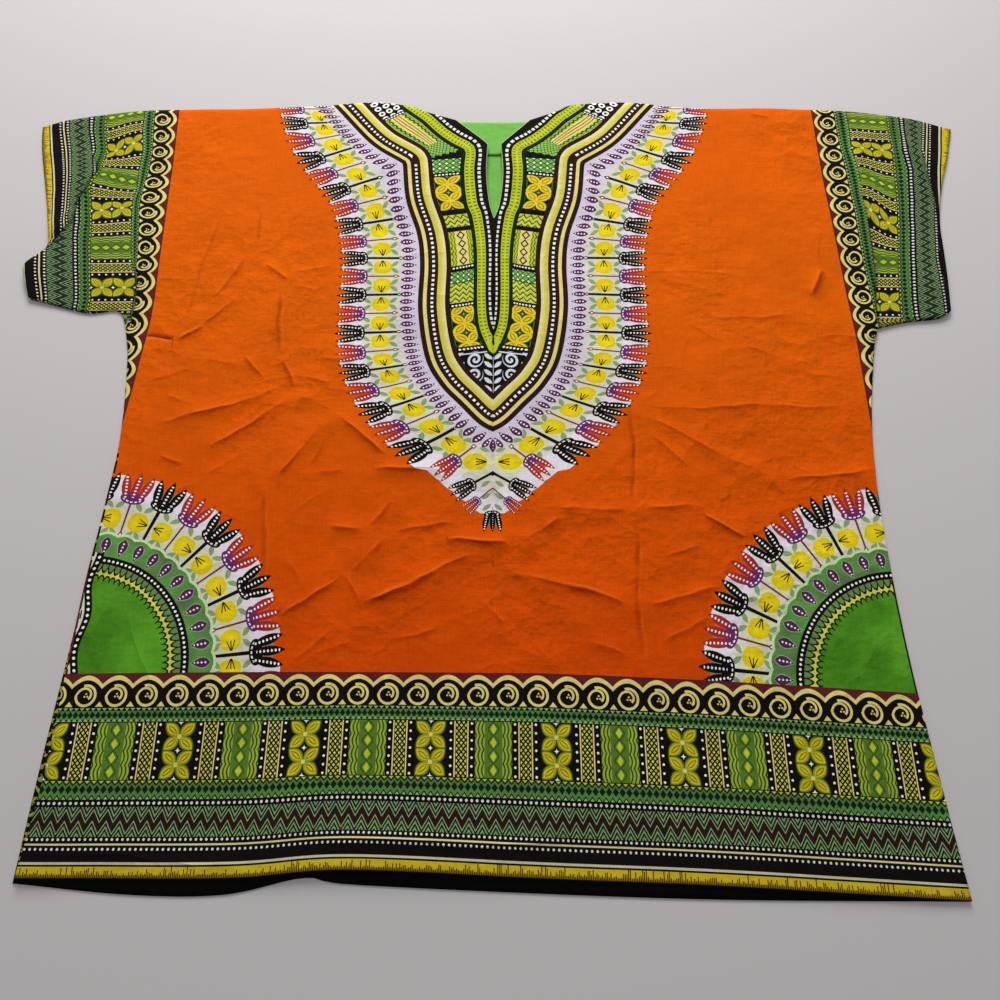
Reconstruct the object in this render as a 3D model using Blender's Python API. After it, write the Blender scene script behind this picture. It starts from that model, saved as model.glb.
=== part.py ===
"""Dashiki shirt laid flat on its back: a back panel, a front panel with an open slit, and a back neck facing.

Each panel is one piece of cloth with its half sleeves cut on. A panel is a wall of even upright thickness: its
outline is filled with a mesh of points, and a height function lifts those points where the cloth is folded.
"""
import math
from collections import namedtuple

import bmesh
import bpy
import numpy as np
from mathutils import Vector
from mathutils.geometry import delaunay_2d_cdt

# Driving sizes, in metres.
HALF_LENGTH = 0.4234        # from the shoulder line down to the middle of the garment
CLOTH = 0.0012              # wall of every piece
SEAM_GAP = 0.0003           # clear gap between two pieces that lie on each other
EDGE_STEP = 0.024           # spacing of the points along an outline
FIELD_STEP = 0.034          # spacing of the points inside a folded panel
FLAT_STEP = 0.080           # spacing of the points inside a flat one
FOLD_STEP = 0.022           # spacing of the points along a fold
POINT_CLEARANCE = 0.009     # no two of the folds' points stand closer than this
LATTICE_CLEARANCE = 0.6     # nor a lattice point closer to another than this share of its spacing
FOOT_REACH = 1.5            # a fold's feet lie this many half widths from its crest
FADE_RATE = 3.0             # a fold reaches its full height this fast along its length
END_HEIGHT = 0.35           # share of its height that a fold keeps at its very ends
MERGE_DISTANCE = 1e-7       # points of the filled outline closer than this are one
FACING_INSET = 0.0012       # the facing's top edge hides this far inside the neckline
FACING_RISE = CLOTH + SEAM_GAP
RISE_MARGIN = 0.055         # how far past the facing the front stays raised
RISE_RAMP = 0.050           # how far it then takes to come down

BACK_Z = 0.0
FACING_Z = BACK_Z + CLOTH + SEAM_GAP
FRONT_Z = BACK_Z + CLOTH + SEAM_GAP

Point = namedtuple("Point", "across down")
Fold = namedtuple("Fold", "across_1 down_1 across_2 down_2 height half_width")
Swell = namedtuple("Swell", "across down reach_across reach_down height")

# Outlines. across is to the right of the garment's middle, down is below the shoulder line, both in metres.
SHOULDER_LEFT = [Point(*row) for row in (
    (-0.5445, 0.030), (-0.503, 0.017), (-0.416, 0.005), (-0.262, 0.000), (-0.158, -0.007),
    (-0.108, -0.002), (-0.084, 0.008), (-0.0485, 0.0213))]
SHOULDER_RIGHT = [Point(*row) for row in (
    (0.039, 0.0215), (0.073, 0.0065), (0.097, -0.0040), (0.174, -0.006), (0.236, 0.0005),
    (0.383, 0.003), (0.485, 0.0146), (0.5446, 0.033))]
CUFF_RIGHT = [Point(*row) for row in (
    (0.5446, 0.033), (0.532, 0.074), (0.5155, 0.121), (0.504, 0.166), (0.499, 0.209), (0.491, 0.288))]
UNDERARM_RIGHT = [Point(*row) for row in (
    (0.491, 0.288), (0.478, 0.2955), (0.443, 0.300), (0.409, 0.308))]
SIDE_RIGHT = [Point(*row) for row in (
    (0.409, 0.308), (0.398, 0.347), (0.378, 0.4695), (0.377, 0.638), (0.387, 0.780), (0.393, 0.8530))]
CUFF_LEFT = [Point(*row) for row in (
    (-0.5092, 0.2706), (-0.5185, 0.247), (-0.5210, 0.229), (-0.5070, 0.213), (-0.5015, 0.200),
    (-0.5117, 0.160), (-0.5357, 0.073), (-0.5445, 0.030))]
UNDERARM_LEFT = [Point(*row) for row in (
    (-0.3965, 0.312), (-0.408, 0.287), (-0.439, 0.2887), (-0.459, 0.285), (-0.5092, 0.2706))]

NECK_LEFT = [Point(*row) for row in ((-0.0485, 0.0213), (-0.010, 0.0602))]
SLIT_LEFT = [Point(*row) for row in (
    (-0.010, 0.0602), (-0.0114, 0.103), (-0.0080, 0.1425), (-0.0027, 0.1640))]
SLIT_RIGHT = [Point(*row) for row in (
    (-0.0027, 0.1640), (0.0035, 0.1425), (0.0071, 0.103), (0.0048, 0.0602))]
NECK_RIGHT = [Point(*row) for row in ((0.0048, 0.0602), (0.039, 0.0215))]
BACK_NECK = [Point(*row) for row in (
    (-0.0485, 0.0213), (0.004, 0.0219), (0.039, 0.0215))]

FRONT_HEM = [Point(*row) for row in (
    (0.393, 0.8530), (0.203, 0.8426), (0.054, 0.837), (-0.1213, 0.8294), (-0.2265, 0.836), (-0.3985, 0.836))]
FRONT_SIDE_LEFT = [Point(*row) for row in (
    (-0.3985, 0.836), (-0.390, 0.750), (-0.3885, 0.587), (-0.381, 0.459), (-0.388, 0.354), (-0.3965, 0.312))]
BACK_HEM = [Point(*row) for row in (
    (0.393, 0.8538), (0.202, 0.8525), (0.054, 0.8485), (-0.120, 0.8411), (-0.160, 0.8363), (-0.225, 0.8487),
    (-0.304, 0.8487), (-0.402, 0.8403))]
BACK_SIDE_LEFT = [Point(*row) for row in (
    (-0.402, 0.8403), (-0.397, 0.730), (-0.3885, 0.587), (-0.381, 0.459), (-0.388, 0.354), (-0.3965, 0.312))]
FACING_LOWER = [Point(*row) for row in (
    (0.087, 0.006), (0.066, 0.048), (0.036, 0.066), (-0.004, 0.0725), (-0.047, 0.064), (-0.078, 0.046),
    (-0.098, 0.010))]

# The largest folds of the front, each a ridge that runs out to nothing at both ends.
FRONT_FOLDS = [Fold(*row) for row in (
    (-0.470, 0.095, -0.496, 0.200, 0.0042, 0.016),
    (0.429, 0.045, 0.424, 0.230, 0.0036, 0.018),
    (-0.373, 0.319, -0.338, 0.325, 0.0024, 0.010),
    (-0.337, 0.325, -0.300, 0.255, 0.0026, 0.016),
    (-0.234, 0.255, -0.229, 0.439, 0.0022, 0.012),
    (-0.229, 0.439, -0.219, 0.655, 0.0020, 0.012),
    (-0.217, 0.382, -0.345, 0.422, 0.0028, 0.012),
    (-0.208, 0.392, -0.295, 0.450, 0.0026, 0.012),
    (-0.223, 0.487, -0.166, 0.407, 0.0030, 0.013),
    (-0.166, 0.407, -0.104, 0.459, 0.0026, 0.012),
    (-0.123, 0.468, -0.049, 0.473, 0.0032, 0.011),
    (-0.163, 0.533, -0.127, 0.532, 0.0024, 0.011),
    (-0.204, 0.617, -0.107, 0.539, 0.0028, 0.013),
    (-0.130, 0.606, -0.013, 0.556, 0.0048, 0.015),
    (-0.051, 0.546, 0.020, 0.545, 0.0034, 0.011),
    (0.014, 0.552, 0.072, 0.519, 0.0032, 0.014),
    (0.072, 0.516, 0.204, 0.512, 0.0026, 0.012),
    (0.014, 0.574, 0.132, 0.608, 0.0030, 0.014),
    (0.132, 0.608, 0.212, 0.591, 0.0026, 0.012),
    (0.142, 0.403, 0.366, 0.399, 0.0028, 0.010),
    (0.142, 0.408, 0.277, 0.480, 0.0022, 0.012),
    (0.138, 0.394, 0.136, 0.662, 0.0022, 0.012),
    (0.267, 0.487, 0.374, 0.470, 0.0024, 0.012),
    (0.199, 0.519, 0.242, 0.541, 0.0024, 0.010),
    (0.339, 0.275, 0.360, 0.235, 0.0026, 0.011),
)]
# Places where the front stands off the back: the hem's lifted middle, the neck's edges and the lower left side.
FRONT_SWELLS = [Swell(*row) for row in (
    (-0.110, 0.828, 0.150, 0.050, 0.0052),
    (-0.030, 0.080, 0.050, 0.090, 0.0012),
    (0.026, 0.080, 0.050, 0.090, 0.0011),
    (-0.385, 0.770, 0.045, 0.110, 0.0040),
    (-0.330, 0.640, 0.060, 0.070, 0.0022),
    (0.330, 0.660, 0.060, 0.080, 0.0024),
    (0.300, 0.830, 0.100, 0.040, 0.0022),
    (-0.515, 0.235, 0.030, 0.040, 0.0034),
    (0.495, 0.245, 0.040, 0.060, 0.0030),
)]


def smooth_run(rows, step):
    """Catmull-Rom curve through the rows, with points about one step apart and without its last point."""
    points = np.array(rows, dtype=float)
    before = np.vstack((2.0 * points[0] - points[1], points))
    padded = np.vstack((before, 2.0 * points[-1] - points[-2]))
    run = []
    for start in range(len(points) - 1):
        p0, p1, p2, p3 = padded[start:start + 4]
        length = float(np.linalg.norm(p2 - p1))
        count = max(1, round(length / step))
        for part in range(count):
            t = part / count
            curve = 2.0 * p1 + (p2 - p0) * t
            curve = curve + (2.0 * p0 - 5.0 * p1 + 4.0 * p2 - p3) * t * t
            curve = curve + (3.0 * p1 - p0 - 3.0 * p2 + p3) * t * t * t
            run.append(Point(*(0.5 * curve)))
    return run


def outline(*edges):
    """Closed outline from edges that follow each other clockwise as seen on the garment."""
    points = []
    for edge in edges:
        points.extend(smooth_run(edge, EDGE_STEP))
    return points


def front_outline():
    """Front panel: shoulders, V neck with its slit, cuffs, sides and hem."""
    return outline(SHOULDER_LEFT, NECK_LEFT, SLIT_LEFT, SLIT_RIGHT, NECK_RIGHT, SHOULDER_RIGHT, CUFF_RIGHT,
                   UNDERARM_RIGHT, SIDE_RIGHT, FRONT_HEM, FRONT_SIDE_LEFT, UNDERARM_LEFT, CUFF_LEFT)


def back_outline():
    """Back panel: as the front, with a shallow neckline, and a hem and a left side that reach further."""
    return outline(SHOULDER_LEFT, BACK_NECK, SHOULDER_RIGHT, CUFF_RIGHT, UNDERARM_RIGHT, SIDE_RIGHT,
                   BACK_HEM, BACK_SIDE_LEFT, UNDERARM_LEFT, CUFF_LEFT)


def facing_outline():
    """Back neck facing: follows the back neckline just inside its edge, and dips to a rounded lower edge."""
    neckline = SHOULDER_LEFT[-3:] + BACK_NECK[1:-1] + SHOULDER_RIGHT[:3]
    upper = [Point(row.across, row.down + FACING_INSET) for row in neckline]
    return outline(upper, [upper[-1], FACING_LOWER[0]], FACING_LOWER, [FACING_LOWER[-1], upper[0]])


def inside(polygon, points):
    """Even-odd test of many points against a polygon, as whole arrays."""
    corners = np.array(polygon)
    following = np.roll(corners, -1, axis=0)
    x, y = points[:, 0][:, None], points[:, 1][:, None]
    crosses = (corners[:, 1] > y) != (following[:, 1] > y)
    rise = following[:, 1] - corners[:, 1]
    rise = np.where(rise == 0.0, 1.0, rise)
    meets = corners[:, 0] + (y - corners[:, 1]) / rise * (following[:, 0] - corners[:, 0])
    return np.sum(crosses & (x < meets), axis=1) % 2 == 1


def segment_distance(points, start, end):
    """Distance from points to the stretch from start to end, and the share of the way along it, 0 to 1."""
    start, end = np.array(start), np.array(end)
    along = end - start
    share = np.clip((points - start) @ along / (along @ along), 0.0, 1.0)
    return np.linalg.norm(points - (start + share[:, None] * along), axis=1), share


def edge_distance(points, polygon):
    """Distance from points to the nearest stretch of a polygon's edge."""
    nearest = np.full(len(points), np.inf)
    for start, end in zip(polygon, polygon[1:] + polygon[:1]):
        nearest = np.minimum(nearest, segment_distance(points, start, end)[0])
    return nearest


def fold_points(folds):
    """Points along each fold's crest and along its two feet."""
    points = []
    for fold in folds:
        start = np.array((fold.across_1, fold.down_1))
        end = np.array((fold.across_2, fold.down_2))
        length = np.linalg.norm(end - start)
        side = np.array((start[1] - end[1], end[0] - start[0])) / length
        count = max(2, round(length / FOLD_STEP))
        for share in np.linspace(0.0, 1.0, count + 1):
            crest = start + share * (end - start)
            points.append(crest)
            points.append(crest + FOOT_REACH * fold.half_width * side)
            points.append(crest - FOOT_REACH * fold.half_width * side)
    return points


def lattice(polygon, step):
    """Even triangular lattice over a polygon's box."""
    corners = np.array(polygon)
    low, high = corners.min(axis=0), corners.max(axis=0)
    row_step = step * math.sqrt(0.75)
    points = []
    for row, down in enumerate(np.arange(low[1] + row_step, high[1], row_step)):
        shift = 0.5 * step * (row % 2)
        points.extend((across, down) for across in np.arange(low[0] + shift, high[0], step))
    return points


def keep_clear(points, polygon, others, clearance):
    """Add to others the points that are inside the polygon, off its edge and off every point kept so far."""
    points = np.array(points)
    points = points[inside(polygon, points)]
    points = points[edge_distance(points, polygon) > POINT_CLEARANCE]
    kept = list(others)
    for point in points:
        if all(math.hypot(point[0] - other[0], point[1] - other[1]) > clearance for other in kept):
            kept.append(point)
    return kept


def field_points(polygon, folds, step):
    """Inside points of a panel: the folds' own first, then the lattice wherever there is room left."""
    kept = []
    if folds:
        kept = keep_clear(fold_points(folds), polygon, kept, POINT_CLEARANCE)
    return keep_clear(lattice(polygon, step), polygon, kept, LATTICE_CLEARANCE * step)


def ridge_height(points, folds):
    """Sum of the folds: each falls away sideways as a bell, and fades towards its two ends."""
    height = np.zeros(len(points))
    for fold in folds:
        away, share = segment_distance(points, fold[0:2], fold[2:4])
        fade = np.clip(FADE_RATE * np.minimum(share, 1.0 - share) + END_HEIGHT, 0.0, 1.0)
        height += fold.height * fade * np.exp(-(away / fold.half_width) ** 2)
    return height


def swell_height(points, swells):
    """Sum of the swells, each a round bell with its own reach across and down."""
    height = np.zeros(len(points))
    for swell in swells:
        away = ((points[:, 0] - swell.across) / swell.reach_across) ** 2
        away = away + ((points[:, 1] - swell.down) / swell.reach_down) ** 2
        height += swell.height * np.exp(-away)
    return height


def facing_cover(points):
    """One over the facing and its margin, falling smoothly to zero beyond."""
    cover = facing_outline()
    away = edge_distance(points, cover)
    away = np.where(inside(cover, points), 0.0, away)
    ramp = np.clip((RISE_MARGIN + RISE_RAMP - away) / RISE_RAMP, 0.0, 1.0)
    return ramp * ramp * (3.0 - 2.0 * ramp)


def front_underside(points):
    """Height of the front's lower side: on the back, over the facing, then its folds and swells."""
    lift = FACING_RISE * facing_cover(points)
    return FRONT_Z + lift + ridge_height(points, FRONT_FOLDS) + swell_height(points, FRONT_SWELLS)


def flat_underside(level):
    """Height function of a piece that lies flat at one level."""
    return lambda points: np.full(len(points), level)


def cloth_piece(name, polygon, inner_points, underside, material):
    """Closed wall over a polygon: a filled mesh at the underside's height, and the same one a cloth above."""
    plan = [Vector(point) for point in polygon + inner_points]
    border = list(range(len(polygon)))
    filled = delaunay_2d_cdt(plan, [], [border], 1, MERGE_DISTANCE)
    spots = np.array([tuple(spot) for spot in filled[0]])
    faces = [tuple(face) for face in filled[2]]
    low = underside(spots)
    x, y = spots[:, 0], HALF_LENGTH - spots[:, 1]
    lower = np.column_stack((x, y, low))
    upper = np.column_stack((x, y, low + CLOTH))
    count = len(spots)
    edge_use = {}
    for face in faces:
        for start, end in zip(face, face[1:] + face[:1]):
            edge_use[(start, end)] = face
    rim = [pair for pair in edge_use if (pair[1], pair[0]) not in edge_use]
    shell = list(faces)
    shell += [tuple(count + corner for corner in reversed(face)) for face in faces]
    shell += [(end, start, count + start, count + end) for start, end in rim]
    mesh = bpy.data.meshes.new(name)
    mesh.from_pydata(np.vstack((lower, upper)).tolist(), [], shell)
    work = bmesh.new()
    work.from_mesh(mesh)
    bmesh.ops.triangulate(work, faces=work.faces[:])
    bmesh.ops.recalc_face_normals(work, faces=work.faces[:])
    work.to_mesh(mesh)
    work.free()
    piece = bpy.data.objects.new(name, mesh)
    bpy.context.scene.collection.objects.link(piece)
    mesh.materials.append(material)
    return piece


def cloth_material(name, colour, roughness):
    """Plain woven cotton of one colour."""
    material = bpy.data.materials.new(name + "_cotton")
    material.use_nodes = True
    shader = material.node_tree.nodes["Principled BSDF"]
    shader.inputs["Base Color"].default_value = (*colour, 1.0)
    shader.inputs["Roughness"].default_value = roughness
    shader.inputs["Metallic"].default_value = 0.0
    material.diffuse_color = (*colour, 1.0)
    return material


def clear_scene():
    """Empty the scene of its objects."""
    for thing in list(bpy.data.objects):
        bpy.data.objects.remove(thing, do_unlink=True)


def build_back():
    """Back panel, flat on what the garment lies on."""
    edge = back_outline()
    cloth_piece("back", edge, field_points(edge, [], FLAT_STEP), flat_underside(BACK_Z),
                cloth_material("back", (0.20, 0.42, 0.10), 0.85))


def build_facing():
    """Back neck facing, flat on the inside of the back."""
    edge = facing_outline()
    cloth_piece("back_neck_facing", edge, field_points(edge, [], FIELD_STEP), flat_underside(FACING_Z),
                cloth_material("back_neck_facing", (0.14, 0.52, 0.07), 0.85))


def build_front():
    """Front panel, on the back and the facing, with its folds."""
    edge = front_outline()
    cloth_piece("front", edge, field_points(edge, FRONT_FOLDS, FIELD_STEP), front_underside,
                cloth_material("front", (0.68, 0.09, 0.003), 0.80))


def main():
    """Build the three pieces of cloth."""
    clear_scene()
    build_back()
    build_facing()
    build_front()


main()
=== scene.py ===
"""Looks of a dashiki shirt laid flat: printed cotton front and back with creases, and the back neck facing.

Every cloth is a fine grid worked out from the cut's edges. Its print is drawn by shader nodes, in
coordinates worked out here for each region of the cloth: along and away from a border's line, round the
neck, and round a corner.
"""

import math

import bpy
import numpy as np
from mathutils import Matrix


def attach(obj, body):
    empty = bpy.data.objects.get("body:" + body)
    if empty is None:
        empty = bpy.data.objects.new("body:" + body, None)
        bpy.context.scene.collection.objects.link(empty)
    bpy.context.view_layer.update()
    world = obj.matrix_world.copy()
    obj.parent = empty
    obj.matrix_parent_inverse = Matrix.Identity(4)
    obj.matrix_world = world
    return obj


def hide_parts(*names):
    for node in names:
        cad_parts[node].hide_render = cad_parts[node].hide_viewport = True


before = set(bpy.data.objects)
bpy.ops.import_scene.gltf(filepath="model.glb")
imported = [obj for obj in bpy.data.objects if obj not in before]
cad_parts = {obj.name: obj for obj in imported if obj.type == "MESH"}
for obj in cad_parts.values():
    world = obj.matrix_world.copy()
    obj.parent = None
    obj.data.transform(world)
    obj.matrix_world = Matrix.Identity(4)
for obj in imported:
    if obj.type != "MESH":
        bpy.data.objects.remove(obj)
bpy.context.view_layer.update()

# ---------------------------------------------------------------- sizes of the cut, metres
HALF_LENGTH = 0.4234            # from the shoulder line down to the middle of the garment
WALL = 0.0012                   # wall of the solids that the cloth stands for
SEAM_GAP = 0.0003               # between the solids
BACK_TOP = WALL
FACING_TOP = 2.0 * WALL + SEAM_GAP
FRONT_TOP = 2.0 * WALL + SEAM_GAP
FACING_RISE = WALL + SEAM_GAP   # how much higher the front lies over the facing
SHEET = 0.0008                  # thickness of the front as seen at an edge
BACK_SHEET = 0.0012
FACING_SHEET = 0.0010
FRONT_STEP = 0.0042             # grid step of each cloth
BACK_STEP = 0.0072
FACING_STEP = 0.0030
MIDDLE = -0.0035                # the print's middle line
GRID_MIDDLE = -0.0030           # where the grid's halves meet below the slit
SLIT_TIP = 0.1640               # end of the slit
PIT_DOWN = 0.310                # level of the grid's row that ends at the underarms
ROW_LENGTHS = (SLIT_TIP, 0.150, 0.360)      # of the grid's stretches down to the hem's border, about
HALF_FIELD = 0.374              # from a side line to the middle, about
SLEEVE_LENGTH = 0.140           # from a side's edge to the cuff, about
ROUNDS = 6                      # of working out the grid's rows and columns from each other
LINE_GAP = 0.0015               # least distance from a side line to the edge beside it
FACING_MIDDLE = -0.005
FACING_HALF = 0.100             # half width of what the front lies over
FACING_DOWN = 0.0725
FACING_EASE = (0.055, 0.105)    # distances from the facing between which the front comes down to the back
FACING_SPAN = (-0.097, 0.086)   # across, of the facing's own grid
FACING_ROWS = 16
FOLD_DROP = 0.00065             # how far the front comes down to the back along the shoulders' fold
FOLD_REACH = 0.003
FOLD_SHOWN = 0.0045             # how far down the back's inside the print comes over that fold
CURVE_PARTS = 16                # points on each stretch of a curve
CELLS = 5e4                     # cells in a metre; grid points in one cell are made one

# Edges of the cut. Each row is (across, down): to the right of the middle, and below the shoulder line.
SHOULDER_LEFT = (
    (-0.5445, 0.030), (-0.503, 0.017), (-0.416, 0.005), (-0.262, 0.000), (-0.158, -0.007),
    (-0.108, -0.002), (-0.084, 0.008), (-0.0485, 0.0213))
SHOULDER_RIGHT = (
    (0.039, 0.0215), (0.073, 0.0065), (0.097, -0.0040), (0.174, -0.006), (0.236, 0.0005),
    (0.383, 0.003), (0.485, 0.0146), (0.5446, 0.033))
BACK_NECK = ((-0.0485, 0.0213), (0.004, 0.0219), (0.039, 0.0215))
CUFF_RIGHT = (
    (0.5446, 0.033), (0.532, 0.074), (0.5155, 0.121), (0.504, 0.166), (0.499, 0.209), (0.491, 0.288))
UNDERARM_RIGHT = ((0.409, 0.308), (0.443, 0.300), (0.478, 0.2955), (0.491, 0.288))
CUFF_LEFT = (
    (-0.5445, 0.030), (-0.5357, 0.073), (-0.5117, 0.160), (-0.5015, 0.200), (-0.507, 0.213),
    (-0.521, 0.229), (-0.5185, 0.247), (-0.5092, 0.2706))
UNDERARM_LEFT = ((-0.3965, 0.312), (-0.408, 0.287), (-0.439, 0.2887), (-0.459, 0.285), (-0.5092, 0.2706))
SIDE_RIGHT = (
    (0.409, 0.308), (0.398, 0.347), (0.378, 0.4695), (0.377, 0.638), (0.387, 0.780), (0.393, 0.8530))
FRONT_SIDE_LEFT = (
    (-0.3965, 0.312), (-0.388, 0.354), (-0.381, 0.459), (-0.3885, 0.587), (-0.390, 0.750), (-0.3985, 0.836))
BACK_SIDE_LEFT = (
    (-0.3965, 0.312), (-0.388, 0.354), (-0.381, 0.459), (-0.3885, 0.587), (-0.397, 0.730), (-0.402, 0.8403))
FRONT_HEM = (
    (-0.3985, 0.836), (-0.2265, 0.836), (-0.1213, 0.8294), (0.054, 0.837), (0.203, 0.8426), (0.393, 0.8530))
BACK_HEM = (
    (-0.402, 0.8403), (-0.304, 0.8487), (-0.225, 0.8487), (-0.160, 0.8363), (-0.120, 0.8411),
    (0.054, 0.8485), (0.202, 0.8525), (0.393, 0.8538))
NECK_LEFT = ((-0.0485, 0.0213), (-0.010, 0.0602))
SLIT_LEFT = ((-0.010, 0.0602), (-0.0114, 0.103), (-0.0080, 0.1425), (-0.0027, SLIT_TIP))
NECK_RIGHT = ((0.039, 0.0215), (0.0048, 0.0602))
SLIT_RIGHT = ((0.0048, 0.0602), (0.0071, 0.103), (0.0035, 0.1425), (-0.0027, SLIT_TIP))
FACING_LOWER = (
    (-0.098, 0.010), (-0.078, 0.046), (-0.047, 0.064), (-0.004, 0.0725), (0.036, 0.066),
    (0.066, 0.048), (0.087, 0.006))

# Lines of the print, as (across, down): where the sleeves' borders start, and where the hem's does.
SIDE_LINE_LEFT = (
    (-0.3845, -0.010), (-0.3786, 0.110), (-0.3746, 0.2145), (-0.3723, 0.292), (-0.377, 0.371),
    (-0.3818, 0.428), (-0.3865, 0.560), (-0.3880, 0.670), (-0.3880, 0.860))
SIDE_LINE_RIGHT = (
    (0.3804, -0.010), (0.3796, 0.110), (0.3807, 0.194), (0.3819, 0.251), (0.3836, 0.335),
    (0.3827, 0.425), (0.381, 0.550), (0.380, 0.684), (0.380, 0.860))
HEM_LINE = (
    (-0.402, 0.6705), (-0.202, 0.6685), (-0.0024, 0.6693), (0.0585, 0.6703), (0.185, 0.6756),
    (0.275, 0.6809), (0.377, 0.6874), (0.400, 0.689))
BORDER = 0.1655                 # depth of the border, from its line to the selvedge
HEM_START = -0.2791             # across where the hem's border counts from, and its stretch on the cloth
HEM_STRETCH = 1.0167
# Round the neck, (half width, down) from the print's middle line: the yoke's outline in its two stretches,
# and the line between its two inmost bands.
YOKE_FLANGE = ((0.215, -0.030), (0.192, 0.000), (0.1465, 0.0568), (0.1065, 0.0872))
YOKE_BODY = (
    (0.1065, 0.0872), (0.1005, 0.139), (0.086, 0.187), (0.0812, 0.228), (0.0812, 0.286),
    (0.0717, 0.344), (0.055, 0.377), (0.0336, 0.401), (0.015, 0.421), (0.000, 0.4307))
INNER_LINE = (
    (0.100, -0.008), (0.084, 0.0061), (0.0759, 0.0128), (0.0584, 0.033), (0.0425, 0.048),
    (0.0268, 0.0596), (0.0212, 0.072), (0.0225, 0.101), (0.019, 0.1415), (0.0130, 0.1616),
    (0.0085, 0.205), (0.0082, 0.270), (0.006, 0.302), (0.000, 0.3215))
INNER_POINT = 0.0110            # how far the inner bands are drawn out to a point below their line
OUTER_BANDS = 0.0347            # widths of the bands on either side of the yoke's panels
INNER_BANDS = 0.0166
# How far the panels' blocks lean, in millimetres over the panel's width, at levels down.
PANEL_LEVELS = (0.08, 0.11, 0.16, 0.18, 0.23, 0.25, 0.28, 0.34)
PANEL_TILTS = (1.2, 3.0, 3.3, 4.0, 5.5, 6.3, 5.1, 4.0)
FLANGE_AXIS = (0.0812, 0.0635, 0.515, 0.857)     # half and down where the flange's rows start, and their way
WEDGE = (0.0368, 0.0713, 0.235)     # half, down and slope of the black wedge between the flange and the body
# Middles of the stems round the neck, from above the shoulder down to the middle line, one row each, and the
# outward direction of some of them as (stem, across, down).
STEM_MIDDLES = (
    (0.2180, -0.0210), (0.2115, 0.0020), (0.2050, 0.0240), (0.1958, 0.0465), (0.1823, 0.0702),
    (0.1664, 0.0920), (0.1500, 0.1147), (0.1385, 0.1400), (0.1308, 0.1685), (0.1250, 0.1935),
    (0.1220, 0.2185), (0.1212, 0.2425), (0.1210, 0.2665), (0.1207, 0.2900), (0.1200, 0.3135),
    (0.1175, 0.3359), (0.1115, 0.3562), (0.1015, 0.3762), (0.0880, 0.3960), (0.0710, 0.4145),
    (0.0499, 0.4333), (0.0255, 0.4545), (0.0000, 0.4775))
STEM_TURNS = (
    (-1, 1.0, -0.05), (1, 1.0, 0.05), (3, 0.935, 0.354), (5, 0.92, 0.39), (7, 0.98, 0.19),
    (9, 1.0, 0.0), (13, 1.0, 0.03), (15, 0.985, 0.162), (17, 0.935, 0.355), (19, 0.86, 0.51),
    (20, 0.78, 0.62), (21, 0.0, 1.0))
FIRST_STEM = -1
RING_HALF = 0.040               # from the yoke's outline to the middle of the stems
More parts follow.
